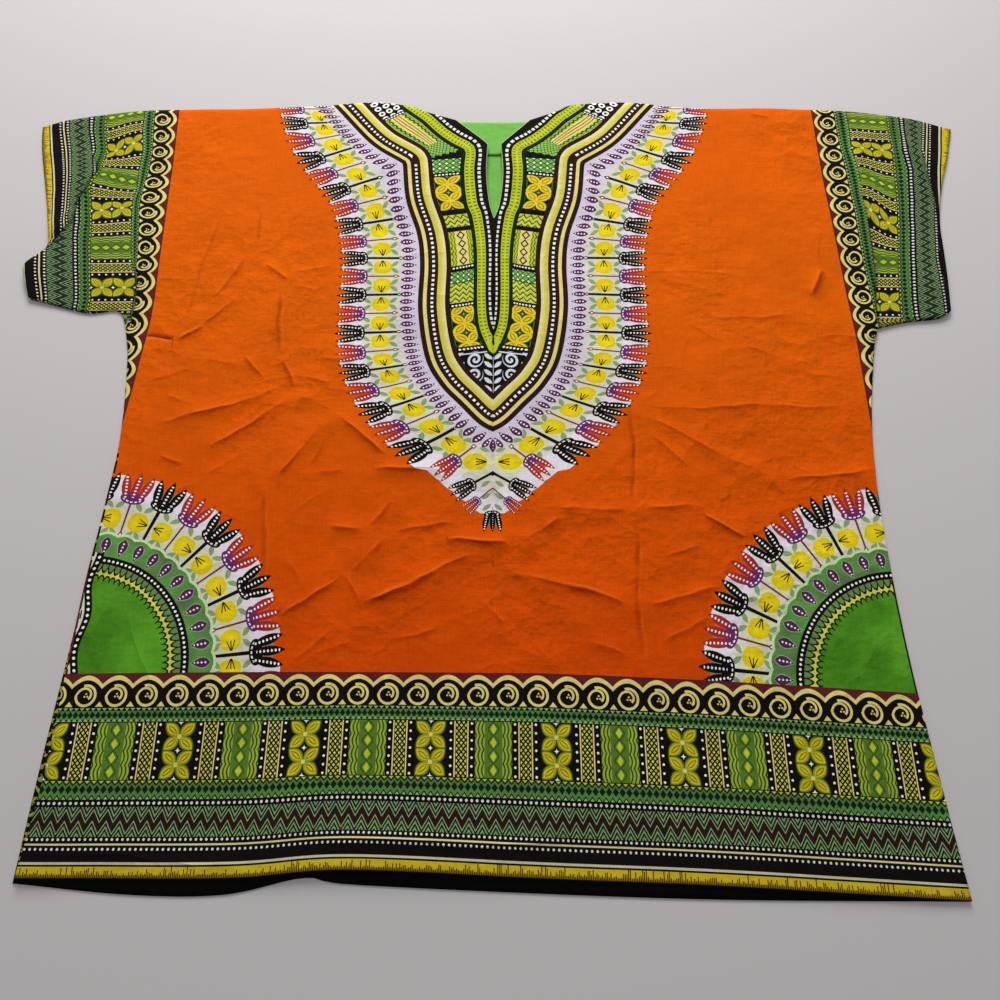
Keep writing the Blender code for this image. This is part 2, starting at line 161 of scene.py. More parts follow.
# The sleeves' borders as they lie, in millimetres. Each row is a level down, the distances from the border's
# line at that level, and the away of what shows at each. TUCKS are the columns after which a tuck hides what
# lies between.
BANDS_LEFT = (
    (13, (29, 35, 35, 41, 87, 100, 110, 110, 131, 139.5, 154.5, 165.5),
         (29.5, 36, 36, 42, 90, 105, 111, 111, 134, 138.5, 151, 165.5)),
    (35, (28, 34.5, 34.5, 41, 85.5, 99, 106.5, 106.5, 128.5, 136, 151, 161),
         (29.5, 36, 36, 42, 90, 105, 111, 111, 134, 138.5, 151, 165.5)),
    (66, (26.5, 31.5, 31.5, 37.5, 80, 92.5, 99, 99, 122, 128.5, 145.5, 156),
         (29.5, 36, 36, 42, 90, 105, 111, 111, 134, 138.5, 151, 165.5)),
    (95, (27, 33, 33, 39, 83.5, 85.5, 87, 87, 117.5, 123, 139, 150),
         (29.5, 36, 36, 42, 90, 92.5, 94, 105, 134, 138.5, 151, 165.5)),
    (110, (30, 33.5, 33.5, 38, 88.5, 90.5, 92.5, 92.5, 115.5, 121, 136, 147.5),
          (29.5, 36, 36, 42, 90, 91, 92, 111, 134, 138.5, 151, 165.5)),
    (124, (31.5, 34.5, 34.5, 37.5, 91, 93, 95.5, 95.5, 114, 119.5, 133.5, 144.5),
          (29.5, 36, 36, 42, 90, 93, 96, 114, 134, 138.5, 151, 165.5)),
    (139, (32.5, 36.5, 36.5, 40.5, 88.5, 99, 101, 101, 112, 117.5, 132, 141.5),
          (29.5, 36, 36, 42, 90, 105, 106.5, 123, 134, 138.5, 151, 165.5)),
    (153, (32, 35.5, 35.5, 39, 87, 98, 103, 103, 110, 115.5, 129.5, 138),
          (29.5, 36, 36, 42, 90, 105, 109, 127, 134, 138.5, 151, 164)),
    (167, (30, 34, 34, 38, 84, 96, 103.5, 103.5, 109, 113, 127, 134.5),
          (29.5, 36, 36, 42, 90, 105, 111, 129, 134, 138.5, 151, 162)),
    (181, (28.5, 32.5, 32.5, 36.5, 82.5, 95.5, 111.5, 111.5, 113, 116.5, 123, 130.5),
          (29.5, 36, 36, 42, 90, 105, 118, 139.5, 141, 144, 151, 160)),
    (194, (27.5, 31, 31, 34.5, 81, 94.5, 118.5, 118.5, 119.5, 120, 120.5, 126.5),
          (29.5, 36, 36, 42, 90, 105, 126, 149, 150, 150, 151, 158)),
    (204, (26.5, 30, 30, 33, 80.5, 92.5, 124.5, 124.5, 125, 126, 127.5, 136.5),
          (29.5, 36, 36, 42, 90, 105, 133, 152, 153, 154, 155, 165)),
    (208, (26, 29.5, 29.5, 32.5, 79.5, 92, 126, 126, 129.5, 134.5, 150, 155.5),
          (29.5, 36, 36, 42, 90, 105, 134, 134, 136, 138.5, 151, 158)),
    (224, (25, 28, 28, 30.5, 77, 89.5, 123.5, 123.5, 126.5, 131.5, 148.5, 155),
          (29, 35, 36.5, 42, 90, 105, 134, 134, 136, 138.5, 151, 158)),
    (241, (22.5, 23, 23, 24, 75, 87, 121, 121, 124, 129, 145.5, 152),
          (24, 24.5, 41, 42, 90, 105, 134, 134, 136, 138.5, 151, 158)),
    (260, (20.5, 21.5, 21.5, 22, 72, 84, 117.5, 117.5, 120.5, 125, 141, 147.5),
          (20.5, 21, 41, 42, 90, 105, 134, 134, 136, 138.5, 151, 158)),
    (273, (20, 21, 21, 22.5, 70, 82, 114.5, 114.5, 118, 122, 136.5, 144),
          (19, 19.5, 40, 42, 90, 105, 134, 134, 136, 138.5, 151, 158)))
BANDS_RIGHT = (
    (17, (26.5, 42, 42, 90.5, 103, 111.5, 132.5, 136, 136, 139, 154, 168.5),
         (29.5, 42, 42, 90, 105, 111, 134, 136.5, 136.5, 138.5, 151, 165.5)),
    (35, (26, 41.5, 41.5, 88.5, 101.5, 108.5, 128, 132, 132, 135, 150, 165),
         (29.5, 42, 42, 90, 105, 111, 134, 136.5, 136.5, 138.5, 151, 165.5)),
    (66, (27.5, 39.5, 39.5, 89, 98.5, 108, 121, 125, 125, 128, 143.5, 158.5),
         (29.5, 42, 42, 90, 105, 111, 134, 136.5, 136.5, 138.5, 151, 165.5)),
    (95, (28, 42, 42, 85, 100.5, 108.5, 122, 123, 123, 126, 137, 149),
         (29.5, 42, 42.5, 90, 105, 111, 132, 133, 139.5, 141.5, 151, 163)),
    (117, (28.5, 42, 42, 83, 97, 105, 123, 124, 124, 127.5, 133, 140.5),
          (29.5, 42, 44, 90, 105, 111, 132, 133, 143, 146.5, 151, 159)),
    (139, (28.5, 40.5, 40.5, 80.5, 93.5, 102, 123, 124.5, 124.5, 126.5, 129.5, 133.5),
          (29.5, 42, 46, 90, 105, 111, 133.5, 134, 147, 149, 151, 155)),
    (160, (28.5, 41, 41, 77.5, 89.5, 97.5, 118.5, 122.5, 122.5, 124, 126, 130),
          (29.5, 42, 50, 90, 105, 111, 134, 137, 146, 149.5, 151, 154)),
    (181, (27, 39.5, 39.5, 73.5, 86, 94, 114, 119, 119, 120, 124.5, 138),
          (29.5, 42, 53, 90, 105, 111, 134, 137, 143, 144, 148, 158)),
    (221, (25.5, 37.5, 37.5, 65.5, 78, 86, 106, 110.5, 110.5, 112, 116.5, 129),
          (29.5, 42, 60, 90, 105, 111, 134, 137, 143, 144, 148, 158)),
    (247, (26, 35.5, 35.5, 61, 73.5, 81.5, 104, 108.5, 108.5, 109.5, 114, 128.5),
          (29.5, 40, 62, 90, 105, 111, 134, 137, 143, 144, 148, 158)),
    (273, (26.5, 31, 31, 57, 69, 77, 102.5, 107, 107, 108, 112.5, 127.5),
          (29.5, 35, 62, 90, 105, 111, 134, 137, 143, 144, 148, 158)),
    (292, (26, 28, 28, 54, 67, 74.5, 100.5, 105, 105, 106, 110.5, 125.5),
          (29.5, 32, 62, 90, 105, 111, 134, 137, 143, 144, 148, 158)))
TUCKS_LEFT = (2, 7)
TUCKS_RIGHT = (2, 8)
# Aways past the zigzags, and how much further out the print's lines lie there on the sleeves.
OUTER_SHIFT = ((134.0, 138.5, 151.0, 165.5), (0.0, 1.3, 3.0, 0.0))
PIT_LEFT = 297.0                # levels where the sleeve passes into the side of the body
PIT_RIGHT = 306.0
# Levels down of the curls' cusps, CURL apart on the print, and of the blocks' middles at the inner and outer
# end of their band, HALF_BLOCK apart on the print. The first number is the first one's along.
CURL = 27.45
HALF_BLOCK = 56.4
CUSPS_LEFT = (
    -75.4, (-18, 7, 32, 57, 79, 103, 124, 146, 168, 192, 217, 238, 264, 290, 319, 348, 372, 398, 420))
CUSPS_RIGHT = (
    -75.4, (-12, 12, 37, 61, 86, 113, 136, 160, 183, 206, 233, 257, 282, 306, 331, 357, 385, 410))
BLOCKS_LEFT = (-112.8, (-42, 8, 52, 113, 149, 204, 257, 305), (-33, 17, 69, 101, 154, 205, 257, 306))
BLOCKS_RIGHT = (-112.8, (-24, 21, 63, 106, 150, 224, 275, 327), (-20, 24, 66, 121, 175, 225, 276, 327))
CORNER_LEFT = (-0.388, 0.6685)  # centres of the corner rosettes
CORNER_RIGHT = (0.380, 0.684)
CORNER_RING = 0.111             # radius at which a rosette's ring of flowers starts
CORNER_REACH = 0.216            # everything of a rosette lies within this radius
NECK_REACH = 0.104              # everything round the neck lies within this distance of the yoke
MM = 1000.0
# Sizes that the materials read, in millimetres but for the thread.
THREAD = 0.0009                 # two threads of the weave, metres
STEM_STEP = 23.0                # between the stems of a ring of flowers
LOZENGE_BAND = (32.6, 40.2)     # the border's bands, by their away
BLOCK_BAND = (42.5, 89.5)
SMALL_LOZENGE_BAND = (90.3, 105.0)
ZIGZAG_BAND = (110.8, 134.0)
SELVEDGE = 156.5
NO_TUCK = -9.0                  # distance past a tuck where there is none
YOKE_BARS = (-63.5, 102.2, 229.0, 277.4, 331.0)      # rows of the yoke where dotted bars start
BAR = 4.0
CORNER_STEM = math.radians(10.5)        # angles between a rosette's stems, drops, beads and scallops
CORNER_DROP = math.radians(8.0)
CORNER_BEAD = math.radians(2.42)
CORNER_SCALLOP = math.radians(3.66)
# The spray at the ring's lowest point, as half, row and degrees below the level: its leaves, and its tulips
# with the stem's length, the flower's scales across and up, one if it is black, and the stem's half width.
PENDANT_LEAVES = ((8.0, 448.0, 160.0), (7.0, 484.5, 35.0), (6.4, 497.5, 35.0), (5.8, 509.0, 40.0))
PENDANT_TULIPS = (
    (0.5, 489.0, 42.0, 16.0, 0.60, 0.60, 0.0, 0.6), (0.5, 473.0, 30.0, 19.0, 0.86, 0.86, 1.0, 1.3),
    (19.0, 444.5, 39.0, 18.0, 0.98, 0.98, 0.0, 0.9), (0.0, 508.0, 90.0, 4.0, 0.91, 0.70, 1.0, 0.7))

# ---------------------------------------------------------------- folds and creases of the front
# across_1, down_1, across_2, down_2, height, half width: the broad folds, as in the solids.
FOLDS = (
    (-0.470, 0.095, -0.496, 0.200, 0.0042, 0.016),
    (0.429, 0.045, 0.424, 0.230, 0.0036, 0.018),
    (-0.373, 0.319, -0.338, 0.325, 0.0024, 0.010),
    (-0.337, 0.325, -0.300, 0.255, 0.0026, 0.016),
    (-0.234, 0.255, -0.229, 0.439, 0.0022, 0.012),
    (-0.229, 0.439, -0.219, 0.655, 0.0020, 0.012),
    (-0.217, 0.382, -0.345, 0.422, 0.0028, 0.012),
    (-0.208, 0.392, -0.295, 0.450, 0.0026, 0.012),
    (-0.223, 0.487, -0.166, 0.407, 0.0030, 0.013),
    (-0.166, 0.407, -0.104, 0.459, 0.0026, 0.012),
    (-0.123, 0.468, -0.049, 0.473, 0.0032, 0.011),
    (-0.163, 0.533, -0.127, 0.532, 0.0024, 0.011),
    (-0.204, 0.617, -0.107, 0.539, 0.0028, 0.013),
    (-0.130, 0.606, -0.013, 0.556, 0.0048, 0.015),
    (-0.051, 0.546, 0.020, 0.545, 0.0034, 0.011),
    (0.014, 0.552, 0.072, 0.519, 0.0032, 0.014),
    (0.072, 0.516, 0.204, 0.512, 0.0026, 0.012),
    (0.014, 0.574, 0.132, 0.608, 0.0030, 0.014),
    (0.132, 0.608, 0.212, 0.591, 0.0026, 0.012),
    (0.142, 0.403, 0.366, 0.399, 0.0016, 0.012),
    (0.142, 0.408, 0.277, 0.480, 0.0022, 0.012),
    (0.138, 0.394, 0.136, 0.662, 0.0022, 0.012),
    (0.267, 0.487, 0.374, 0.470, 0.0024, 0.012),
    (0.199, 0.519, 0.242, 0.541, 0.0024, 0.010),
    (0.339, 0.275, 0.360, 0.235, 0.0026, 0.011),
)
# across, down, reach across, reach down, height: where the front stands off the back, as in the solids.
SWELLS = (
    (-0.110, 0.828, 0.150, 0.050, 0.0052),
    (-0.030, 0.080, 0.050, 0.090, 0.0012),
    (0.026, 0.080, 0.050, 0.090, 0.0011),
    (-0.385, 0.770, 0.045, 0.110, 0.0040),
    (-0.330, 0.640, 0.060, 0.070, 0.0022),
    (0.330, 0.660, 0.060, 0.080, 0.0024),
    (0.300, 0.830, 0.100, 0.040, 0.0022),
    (-0.515, 0.235, 0.030, 0.040, 0.0034),
    (0.495, 0.245, 0.040, 0.060, 0.0030),
)
# across_1, down_1, across_2, down_2, height, half width, skew: the sharper creases. A skew over 0 makes the
# crease steeper on its upper side, and one under 0 on its lower side.
CREASES = (
    (-0.234, 0.262, -0.227, 0.347, 0.0012, 0.0035, 0.3),
    (-0.227, 0.347, -0.208, 0.383, 0.0013, 0.0035, 0.3),
    (-0.229, 0.420, -0.219, 0.603, 0.0009, 0.0040, 0.4),
    (0.140, 0.388, 0.134, 0.666, -0.0013, 0.0032, 0.0),
    (0.142, 0.403, 0.372, 0.400, 0.0010, 0.0050, 0.5),
    (0.043, 0.514, 0.204, 0.511, 0.0013, 0.0044, 0.4),
    (0.014, 0.574, 0.132, 0.608, 0.0017, 0.0048, -0.4),
    (0.132, 0.608, 0.215, 0.591, 0.0011, 0.0045, 0.4),
    (0.267, 0.487, 0.376, 0.470, 0.0012, 0.0042, 0.4),
    (0.341, 0.271, 0.362, 0.234, 0.0016, 0.0036, 0.4),
    (0.199, 0.519, 0.243, 0.541, 0.0015, 0.0036, -0.3),
    (0.305, 0.010, 0.331, 0.015, 0.0009, 0.0035, 0.0),
    (-0.377, 0.319, -0.340, 0.326, -0.0022, 0.0032, 0.0),
    (-0.338, 0.325, -0.314, 0.305, 0.0015, 0.0036, 0.3),
    (-0.316, 0.304, -0.285, 0.268, 0.0009, 0.0050, 0.2),
    (-0.257, 0.226, -0.227, 0.251, 0.0015, 0.0034, 0.3),
    (-0.269, 0.339, -0.241, 0.373, 0.0011, 0.0034, 0.2),
    (-0.217, 0.380, -0.343, 0.422, 0.0014, 0.0046, 0.4),
    (-0.208, 0.392, -0.293, 0.450, 0.0013, 0.0044, 0.4),
    (-0.206, 0.388, -0.166, 0.407, 0.0014, 0.0040, 0.2),
    (-0.223, 0.487, -0.166, 0.407, 0.0016, 0.0042, 0.3),
    (-0.192, 0.487, -0.166, 0.407, 0.0012, 0.0040, -0.3),
    (-0.166, 0.407, -0.104, 0.459, 0.0014, 0.0040, 0.3),
    (-0.123, 0.468, -0.049, 0.473, 0.0019, 0.0040, 0.6),
    (-0.338, 0.456, -0.314, 0.466, 0.0010, 0.0036, 0.3),
    (-0.163, 0.533, -0.127, 0.532, 0.0013, 0.0040, 0.3),
    (-0.127, 0.532, -0.100, 0.498, 0.0013, 0.0038, 0.3),
    (-0.144, 0.578, -0.123, 0.608, 0.0012, 0.0038, 0.2),
    (-0.130, 0.608, -0.013, 0.556, 0.0022, 0.0050, 0.6),
    (-0.204, 0.617, -0.137, 0.579, 0.0013, 0.0046, 0.3),
    (-0.137, 0.579, -0.107, 0.539, 0.0013, 0.0042, 0.3),
    (-0.049, 0.546, 0.018, 0.545, 0.0021, 0.0042, 0.6),
    (-0.100, 0.533, -0.040, 0.528, 0.0010, 0.0045, 0.2),
    (0.142, 0.408, 0.277, 0.480, 0.0009, 0.0045, 0.2),
    (0.014, 0.552, 0.072, 0.519, 0.0016, 0.0052, 0.4),
    (0.159, 0.234, 0.291, 0.241, 0.0006, 0.0045, 0.2),
    (-0.316, 0.153, -0.339, 0.311, 0.0007, 0.0090, 0.1),
    (-0.275, 0.214, -0.312, 0.273, 0.0009, 0.0080, 0.1),
    (0.166, 0.300, 0.142, 0.330, 0.0007, 0.0042, 0.2),
    (0.170, 0.385, 0.150, 0.398, 0.0008, 0.0036, 0.2),
    (0.152, 0.430, 0.195, 0.470, 0.0009, 0.0042, 0.2),
    (0.214, 0.415, 0.205, 0.440, 0.0008, 0.0036, 0.2),
    (0.270, 0.480, 0.285, 0.500, 0.0013, 0.0040, 0.2),
    (-0.300, 0.700, -0.345, 0.610, 0.0009, 0.0060, 0.2),
    (-0.375, 0.640, -0.345, 0.560, 0.0008, 0.0060, 0.2),
    (-0.145, 0.625, -0.190, 0.660, 0.0007, 0.0050, 0.2),
    (0.080, 0.640, 0.120, 0.655, 0.0008, 0.0045, 0.2),
    (0.320, 0.590, 0.375, 0.560, 0.0008, 0.0050, 0.2),
    (-0.470, 0.104, -0.483, 0.150, 0.0020, 0.0045, 0.5),
    (-0.483, 0.150, -0.498, 0.196, 0.0024, 0.0045, 0.5),
    (0.429, 0.050, 0.424, 0.221, 0.0012, 0.0070, 0.2),
    (-0.160, 0.806, 0.060, 0.812, 0.0016, 0.0060, 0.5),
    (-0.395, 0.815, -0.210, 0.826, 0.0010, 0.0060, 0.3),
    (0.120, 0.700, 0.128, 0.830, 0.0009, 0.0040, 0.2),
    (-0.205, 0.366, -0.170, 0.374, 0.0010, 0.0034, 0.2),
    (-0.208, 0.392, -0.172, 0.397, 0.0010, 0.0034, 0.2),
    (-0.188, 0.342, -0.152, 0.346, 0.0009, 0.0034, 0.2),
    (-0.205, 0.423, -0.175, 0.430, 0.0008, 0.0036, 0.2),
    (-0.196, 0.481, -0.150, 0.470, 0.0011, 0.0036, 0.3),
    (-0.292, 0.478, -0.232, 0.436, 0.0009, 0.0050, 0.2),
    (-0.346, 0.389, -0.306, 0.404, 0.0008, 0.0060, 0.2),
    (-0.242, 0.462, -0.226, 0.500, 0.0008, 0.0036, 0.2),
    (-0.270, 0.150, -0.262, 0.236, 0.0007, 0.0060, 0.1),
    (0.230, 0.298, 0.318, 0.290, 0.0008, 0.0044, 0.3),
    (0.262, 0.330, 0.336, 0.352, 0.0007, 0.0050, 0.2),
    (0.020, 0.556, 0.060, 0.540, 0.0011, 0.0036, 0.3),
    (-0.104, 0.640, -0.052, 0.628, 0.0008, 0.0044, 0.2),
    (-0.020, 0.600, 0.012, 0.628, 0.0008, 0.0040, 0.2),
    (0.160, 0.560, 0.196, 0.552, 0.0008, 0.0040, 0.2),
    (0.150, 0.640, 0.200, 0.618, 0.0008, 0.0044, 0.2),
)
FOLD_SHARE = 0.6                # the cloth's broad folds are this share of the solids'
CREASE_SHARE = 0.7              # share of a crease's height that the grid takes; shading adds its crest
SMALL_CREASES = (7, 130, (-0.38, 0.36, 0.20, 0.67))     # short ones more: seed, number, box they lie in
DEEPEST = -0.0004               # the lowest that a sunk crease comes
WAVES = 26                      # long shallow waves in the cloth, then their seed, size and middle level
WAVE_SEED = 3
WAVE_SIZE = 0.0016
WAVE_LEVEL = 0.0003


# ---------------------------------------------------------------- curves
def smooth(rows):
    """Catmull-Rom curve: on each stretch a cubic in t whose end slopes are half the chord past the ends."""
    points = np.array(rows, dtype=float)
    padded = np.vstack((2.0 * points[0] - points[1], points, 2.0 * points[-1] - points[-2]))
    before, start, end, after = padded[:-3], padded[1:-2], padded[2:-1], padded[3:]
    t = (np.arange(CURVE_PARTS) / CURVE_PARTS)[None, :, None]
    before, start, end, after = (part[:, None, :] for part in (before, start, end, after))
    curve = 2.0 * start + (end - before) * t + (2.0 * before - 5.0 * start + 4.0 * end - after) * t ** 2
    curve = 0.5 * (curve + (3.0 * start - before - 3.0 * end + after) * t ** 3)
    return np.vstack((curve.reshape(-1, 2), points[-1]))


def read(curve, position, by):
    """Where a curve stands: its across at a given down (by=1), or its down at a given across (by=0)."""
    order = np.argsort(curve[:, by], kind="stable")
    return np.interp(position, curve[order, by], curve[order, 1 - by])


def smoothstep(low, high, value):
    """Zero below low, one above high, and a soft ramp between them."""
    t = np.clip((value - low) / (high - low), 0.0, 1.0)
    return t * t * (3.0 - 2.0 * t)


def nearest(curve, x, y):
    """Distance from points to a curve, and the length along the curve of the nearest spot."""
    start, end = curve[:-1], curve[1:]
    along = end - start
    length = np.hypot(along[:, 0], along[:, 1])
    walked = np.concatenate(([0.0], np.cumsum(length)[:-1]))
    best = np.full(x.shape, np.inf)
    place = np.zeros(x.shape)
    for k in range(len(start)):
        dx, dy = x - start[k, 0], y - start[k, 1]
        t = np.clip((dx * along[k, 0] + dy * along[k, 1]) / max(length[k] ** 2, 1e-12), 0.0, 1.0)
        away = np.hypot(dx - t * along[k, 0], dy - t * along[k, 1])
        closer = away < best
        best = np.where(closer, away, best)
        place = np.where(closer, walked[k] + t * length[k], place)
    return best, place


# ---------------------------------------------------------------- print coordinates
side_left, side_right, hem_line = smooth(SIDE_LINE_LEFT), smooth(SIDE_LINE_RIGHT), smooth(HEM_LINE)
shoulder = np.vstack((smooth(SHOULDER_LEFT), smooth(SHOULDER_RIGHT)))
yoke_edge = np.vstack((smooth(YOKE_FLANGE), smooth(YOKE_BODY)[1:]))
inner_line = smooth(INNER_LINE)
ring_middle = smooth(STEM_MIDDLES)
INNER_LENGTH = float(np.hypot(*np.diff(inner_line, axis=0).T).sum())


def beyond(curve):
    """A curve with a straight stretch past its last point, so that what runs beside it meets in a point."""
    return np.vstack((curve, curve[-1] + 30.0 * (curve[-1] - curve[-2])))


def inward(curve, half, down):
    """One towards the middle line from a curve round the neck, minus one outside it."""
    width = read(curve, down, 1)
    return np.where((half < width) & (down < curve[-1, 1]), 1.0, -1.0)


def stem_coordinates(half, down):
    """Number of the stem, counted on in fractions between stems, and the distance out from the yoke."""
    middle = beyond(ring_middle)
    away, along = nearest(middle, half, down)
    walked = np.concatenate(([0.0], np.cumsum(np.hypot(*np.diff(middle, axis=0).T))))
    number = FIRST_STEM + np.arange(len(middle)) / CURVE_PARTS
    number[-1] = number[-2] + (walked[-1] - walked[-2]) / (walked[-2] - walked[-3]) / CURVE_PARTS
    stem = np.interp(along, walked, number)
    tangent = np.gradient(ring_middle, axis=0)
    tangent /= np.hypot(tangent[:, 0], tangent[:, 1])[:, None]
    spacing = np.gradient(walked[:-1]) * CURVE_PARTS
    tx, ty = (np.interp(stem, number[:-1], tangent[:, k]) for k in (0, 1))
    turns = np.array(STEM_TURNS)
    ux, uy = (np.interp(stem, turns[:, 0], turns[:, k]) for k in (1, 2))
    away = -away * inward(ring_middle, half, down)
    lean = (ux * tx + uy * ty) / (ux * ty - uy * tx)
    stem = stem - away * lean / np.interp(stem, number[:-1], spacing)
    return stem, RING_HALF + away


def panel_coordinates(half, down, across):
    """Row of the yoke's panels in millimetres: under 30 on the flange, over 78 below it, black between."""
    body = down * MM + (across - 0.5) * np.interp(down, PANEL_LEVELS, PANEL_TILTS)
    at_half, at_down, along_half, along_down = FLANGE_AXIS
    flange = -((half - at_half) * along_half - (down - at_down) * along_down) * MM
    at_half, at_down, slope = WEDGE
    above_wedge = down < at_down + (half - at_half) * slope
    return np.where(above_wedge, np.minimum(flange, 30.0), np.maximum(body, 78.0))


def neck_coordinates(across, down):
    """Coordinates round the neck by name, in millimetres but for stem and across, which count motifs."""
    half = np.abs(across - MIDDLE)
    out, outer_along = nearest(beyond(yoke_edge), half, down)
    inner, inner_along = nearest(inner_line, half, down)
    out = out * inward(yoke_edge, half, down)
    below = np.clip(down - inner_line[-1, 1], 0.0, None) / np.maximum(inner, 1e-6)
    inner = -inner * inward(inner_line, half, down) * (1.0 + 0.26 * smoothstep(0.12, 0.26, down))
    inner = inner - INNER_POINT * np.clip(below, 0.0, 1.0) ** 12
    stem, away = stem_coordinates(half, down)
    room = np.clip(out - OUTER_BANDS, 0.0, None), np.clip(inner - INNER_BANDS, 0.0, None)
    share = room[0] / np.maximum(room[0] + room[1], 1e-6)
    row = panel_coordinates(half, down, share)
    return {"out": out * MM, "inner": inner * MM, "outer_along": outer_along * MM,
            "inner_along": inner_along * MM, "stem": stem, "away": away * MM, "across": share, "row": row,
            "half": half * MM}


def corner_coordinates(across, down):
    """Millimetres out from where a rosette's ring of flowers starts, the angle, and the radius."""
    radius, angle = np.full(across.shape, 9.0), np.zeros(across.shape)
    for (centre_across, centre_down), side in ((CORNER_LEFT, 1.0), (CORNER_RIGHT, -1.0)):
        dx, dy = side * (across - centre_across), centre_down - down
        own = np.hypot(dx, dy)
        angle = np.where(own < radius, np.arctan2(dy, dx), angle)
        radius = np.minimum(radius, own)
    return (radius - CORNER_RING) * MM, angle, radius * MM


def ladder(level, first, step, levels):
    """Along at a level down, from levels a step of the print apart, going on evenly past the last one."""
    more = 40
    alongs = first + step * np.append(np.arange(len(levels)), len(levels) + more - 1)
    return np.interp(level, np.array(levels + (levels[-1] + more * step,), dtype=float), alongs)


def tucked(beside, level, bands, tucks):
    """Away by the distance to a border's line, and for each tuck the distance past it and what it hides."""
    levels, *tables = zip(*bands)
    places, values = ([np.zeros(level.shape)] + [np.interp(level, levels, column) for column in zip(*table)]
                      for table in tables)
    away, folds = np.minimum(beside, 0.0), []
    for k, (low, high, start, end) in enumerate(zip(places[:-1], places[1:], values[:-1], values[1:])):
        if k in tucks:
            folds.append((beside - low, end - start))
        else:
            away += (end - start) * np.clip((beside - low) / np.maximum(high - low, 0.1), 0.0, 1.0)
    return away, folds


def sleeve_border(across, down):
    """Border coordinates on a sleeve by name, in millimetres: two alongs, away, and what the tucks need."""
    level, found = down * MM, []
    for side, line, bands, tucks, cusps, blocks, pit in (
            (-1, side_left, BANDS_LEFT, TUCKS_LEFT, CUSPS_LEFT, BLOCKS_LEFT, PIT_LEFT),
            (1, side_right, BANDS_RIGHT, TUCKS_RIGHT, CUSPS_RIGHT, BLOCKS_RIGHT, PIT_RIGHT)):
        beside = side * (across - read(line, down, 1)) * MM
        away, folds = tucked(beside, level, bands, tucks)
        body = smoothstep(pit - 8.0, pit + 8.0, level)
        shown = away + sum(hidden * (past > 0.0) for past, hidden in folds)
        away = away + np.interp(shown, *OUTER_SHIFT)
        turn = smoothstep(42.0, 90.0, shown)
        inner, outer = (ladder(level, blocks[0], HALF_BLOCK, levels) for levels in blocks[1:])
        found.append([ladder(level, cusps[0], CURL, cusps[1]), inner + (outer - inner) * turn,
                      away + (beside - away) * body, folds[0][0], folds[1][0],
                      folds[0][1] * (1.0 - body), folds[1][1] * (1.0 - body)])
    names = ("along", "block_along", "away", "past_one", "past_two", "hidden_one", "hidden_two")
    return {name: np.where(across < 0.0, left, right) for name, left, right in zip(names, *found)}


def hem_border(across, down, hem):
    """Along and away on the hem's border, in metres, stretched so that it always ends at the hem."""
    top = read(hem_line, across, 0)
    return (across - HEM_START) * HEM_STRETCH, (down - top) / (read(hem, across, 0) - top) * BORDER


# ---------------------------------------------------------------- heights
def wander(across, down):
    """Points moved a little along slow waves, so that the creases bend."""
    shift = 0.0016 * np.sin(61.0 * down + 19.0 * across) + 0.0005 * np.sin(190.0 * (down + across) + 1.0)
    drop = 0.0018 * np.sin(53.0 * across - 16.0 * down) + 0.0005 * np.sin(171.0 * (across - down))
    return across + shift, down + drop


def ends(share):
    """One along most of a crease, falling to nothing over its first and last fifth."""
    return np.clip(5.0 * np.minimum(share, 1.0 - share), 0.0, 1.0) ** 0.8


def segment(across, down, row):
    """Distance to a crease, its side (one above, minus one below), and the share of the way along it."""
    x1, y1, x2, y2 = row[:4]
    dx, dy = x2 - x1, y2 - y1
    t = np.clip(((across - x1) * dx + (down - y1) * dy) / (dx * dx + dy * dy), 0.0, 1.0)
    ox, oy = across - x1 - t * dx, down - y1 - t * dy
    turned = 1.0 if dx >= 0.0 else -1.0
    return np.hypot(ox, oy), -np.sign(oy * dx - ox * dy) * turned, t


def broad_height(across, down):
    """Folds as bells along their stretches, fading to their ends, and swells as round bells."""
    height = np.zeros(across.shape)
    for row in FOLDS:
        away, _, share = segment(across, down, row)
        fade = np.clip(3.0 * np.minimum(share, 1.0 - share) + 0.35, 0.0, 1.0)
        height += FOLD_SHARE * row[4] * fade * np.exp(-(away / row[5]) ** 2)
    for at_across, at_down, reach_across, reach_down, rise in SWELLS:
        away = ((across - at_across) / reach_across) ** 2 + ((down - at_down) / reach_down) ** 2
        height += rise * np.exp(-away)
    return height


def sharp_height(across, down, rows):
    """Creases: each a ridge with a narrow crest, steeper on one side, that fades to its ends."""
    height = np.zeros(across.shape)
    for row in rows:
        low_x, high_x = min(row[0], row[2]) - 0.04, max(row[0], row[2]) + 0.04
        low_y, high_y = min(row[1], row[3]) - 0.04, max(row[1], row[3]) + 0.04
        near = (across > low_x) & (across < high_x) & (down > low_y) & (down < high_y)
        away, side, share = segment(across[near], down[near], row)
        width = row[5] * (1.0 - row[6] * side) + 0.0014
        height[near] += CREASE_SHARE * row[4] * ends(share) * np.exp(-(away / width) ** 1.6)
    return height


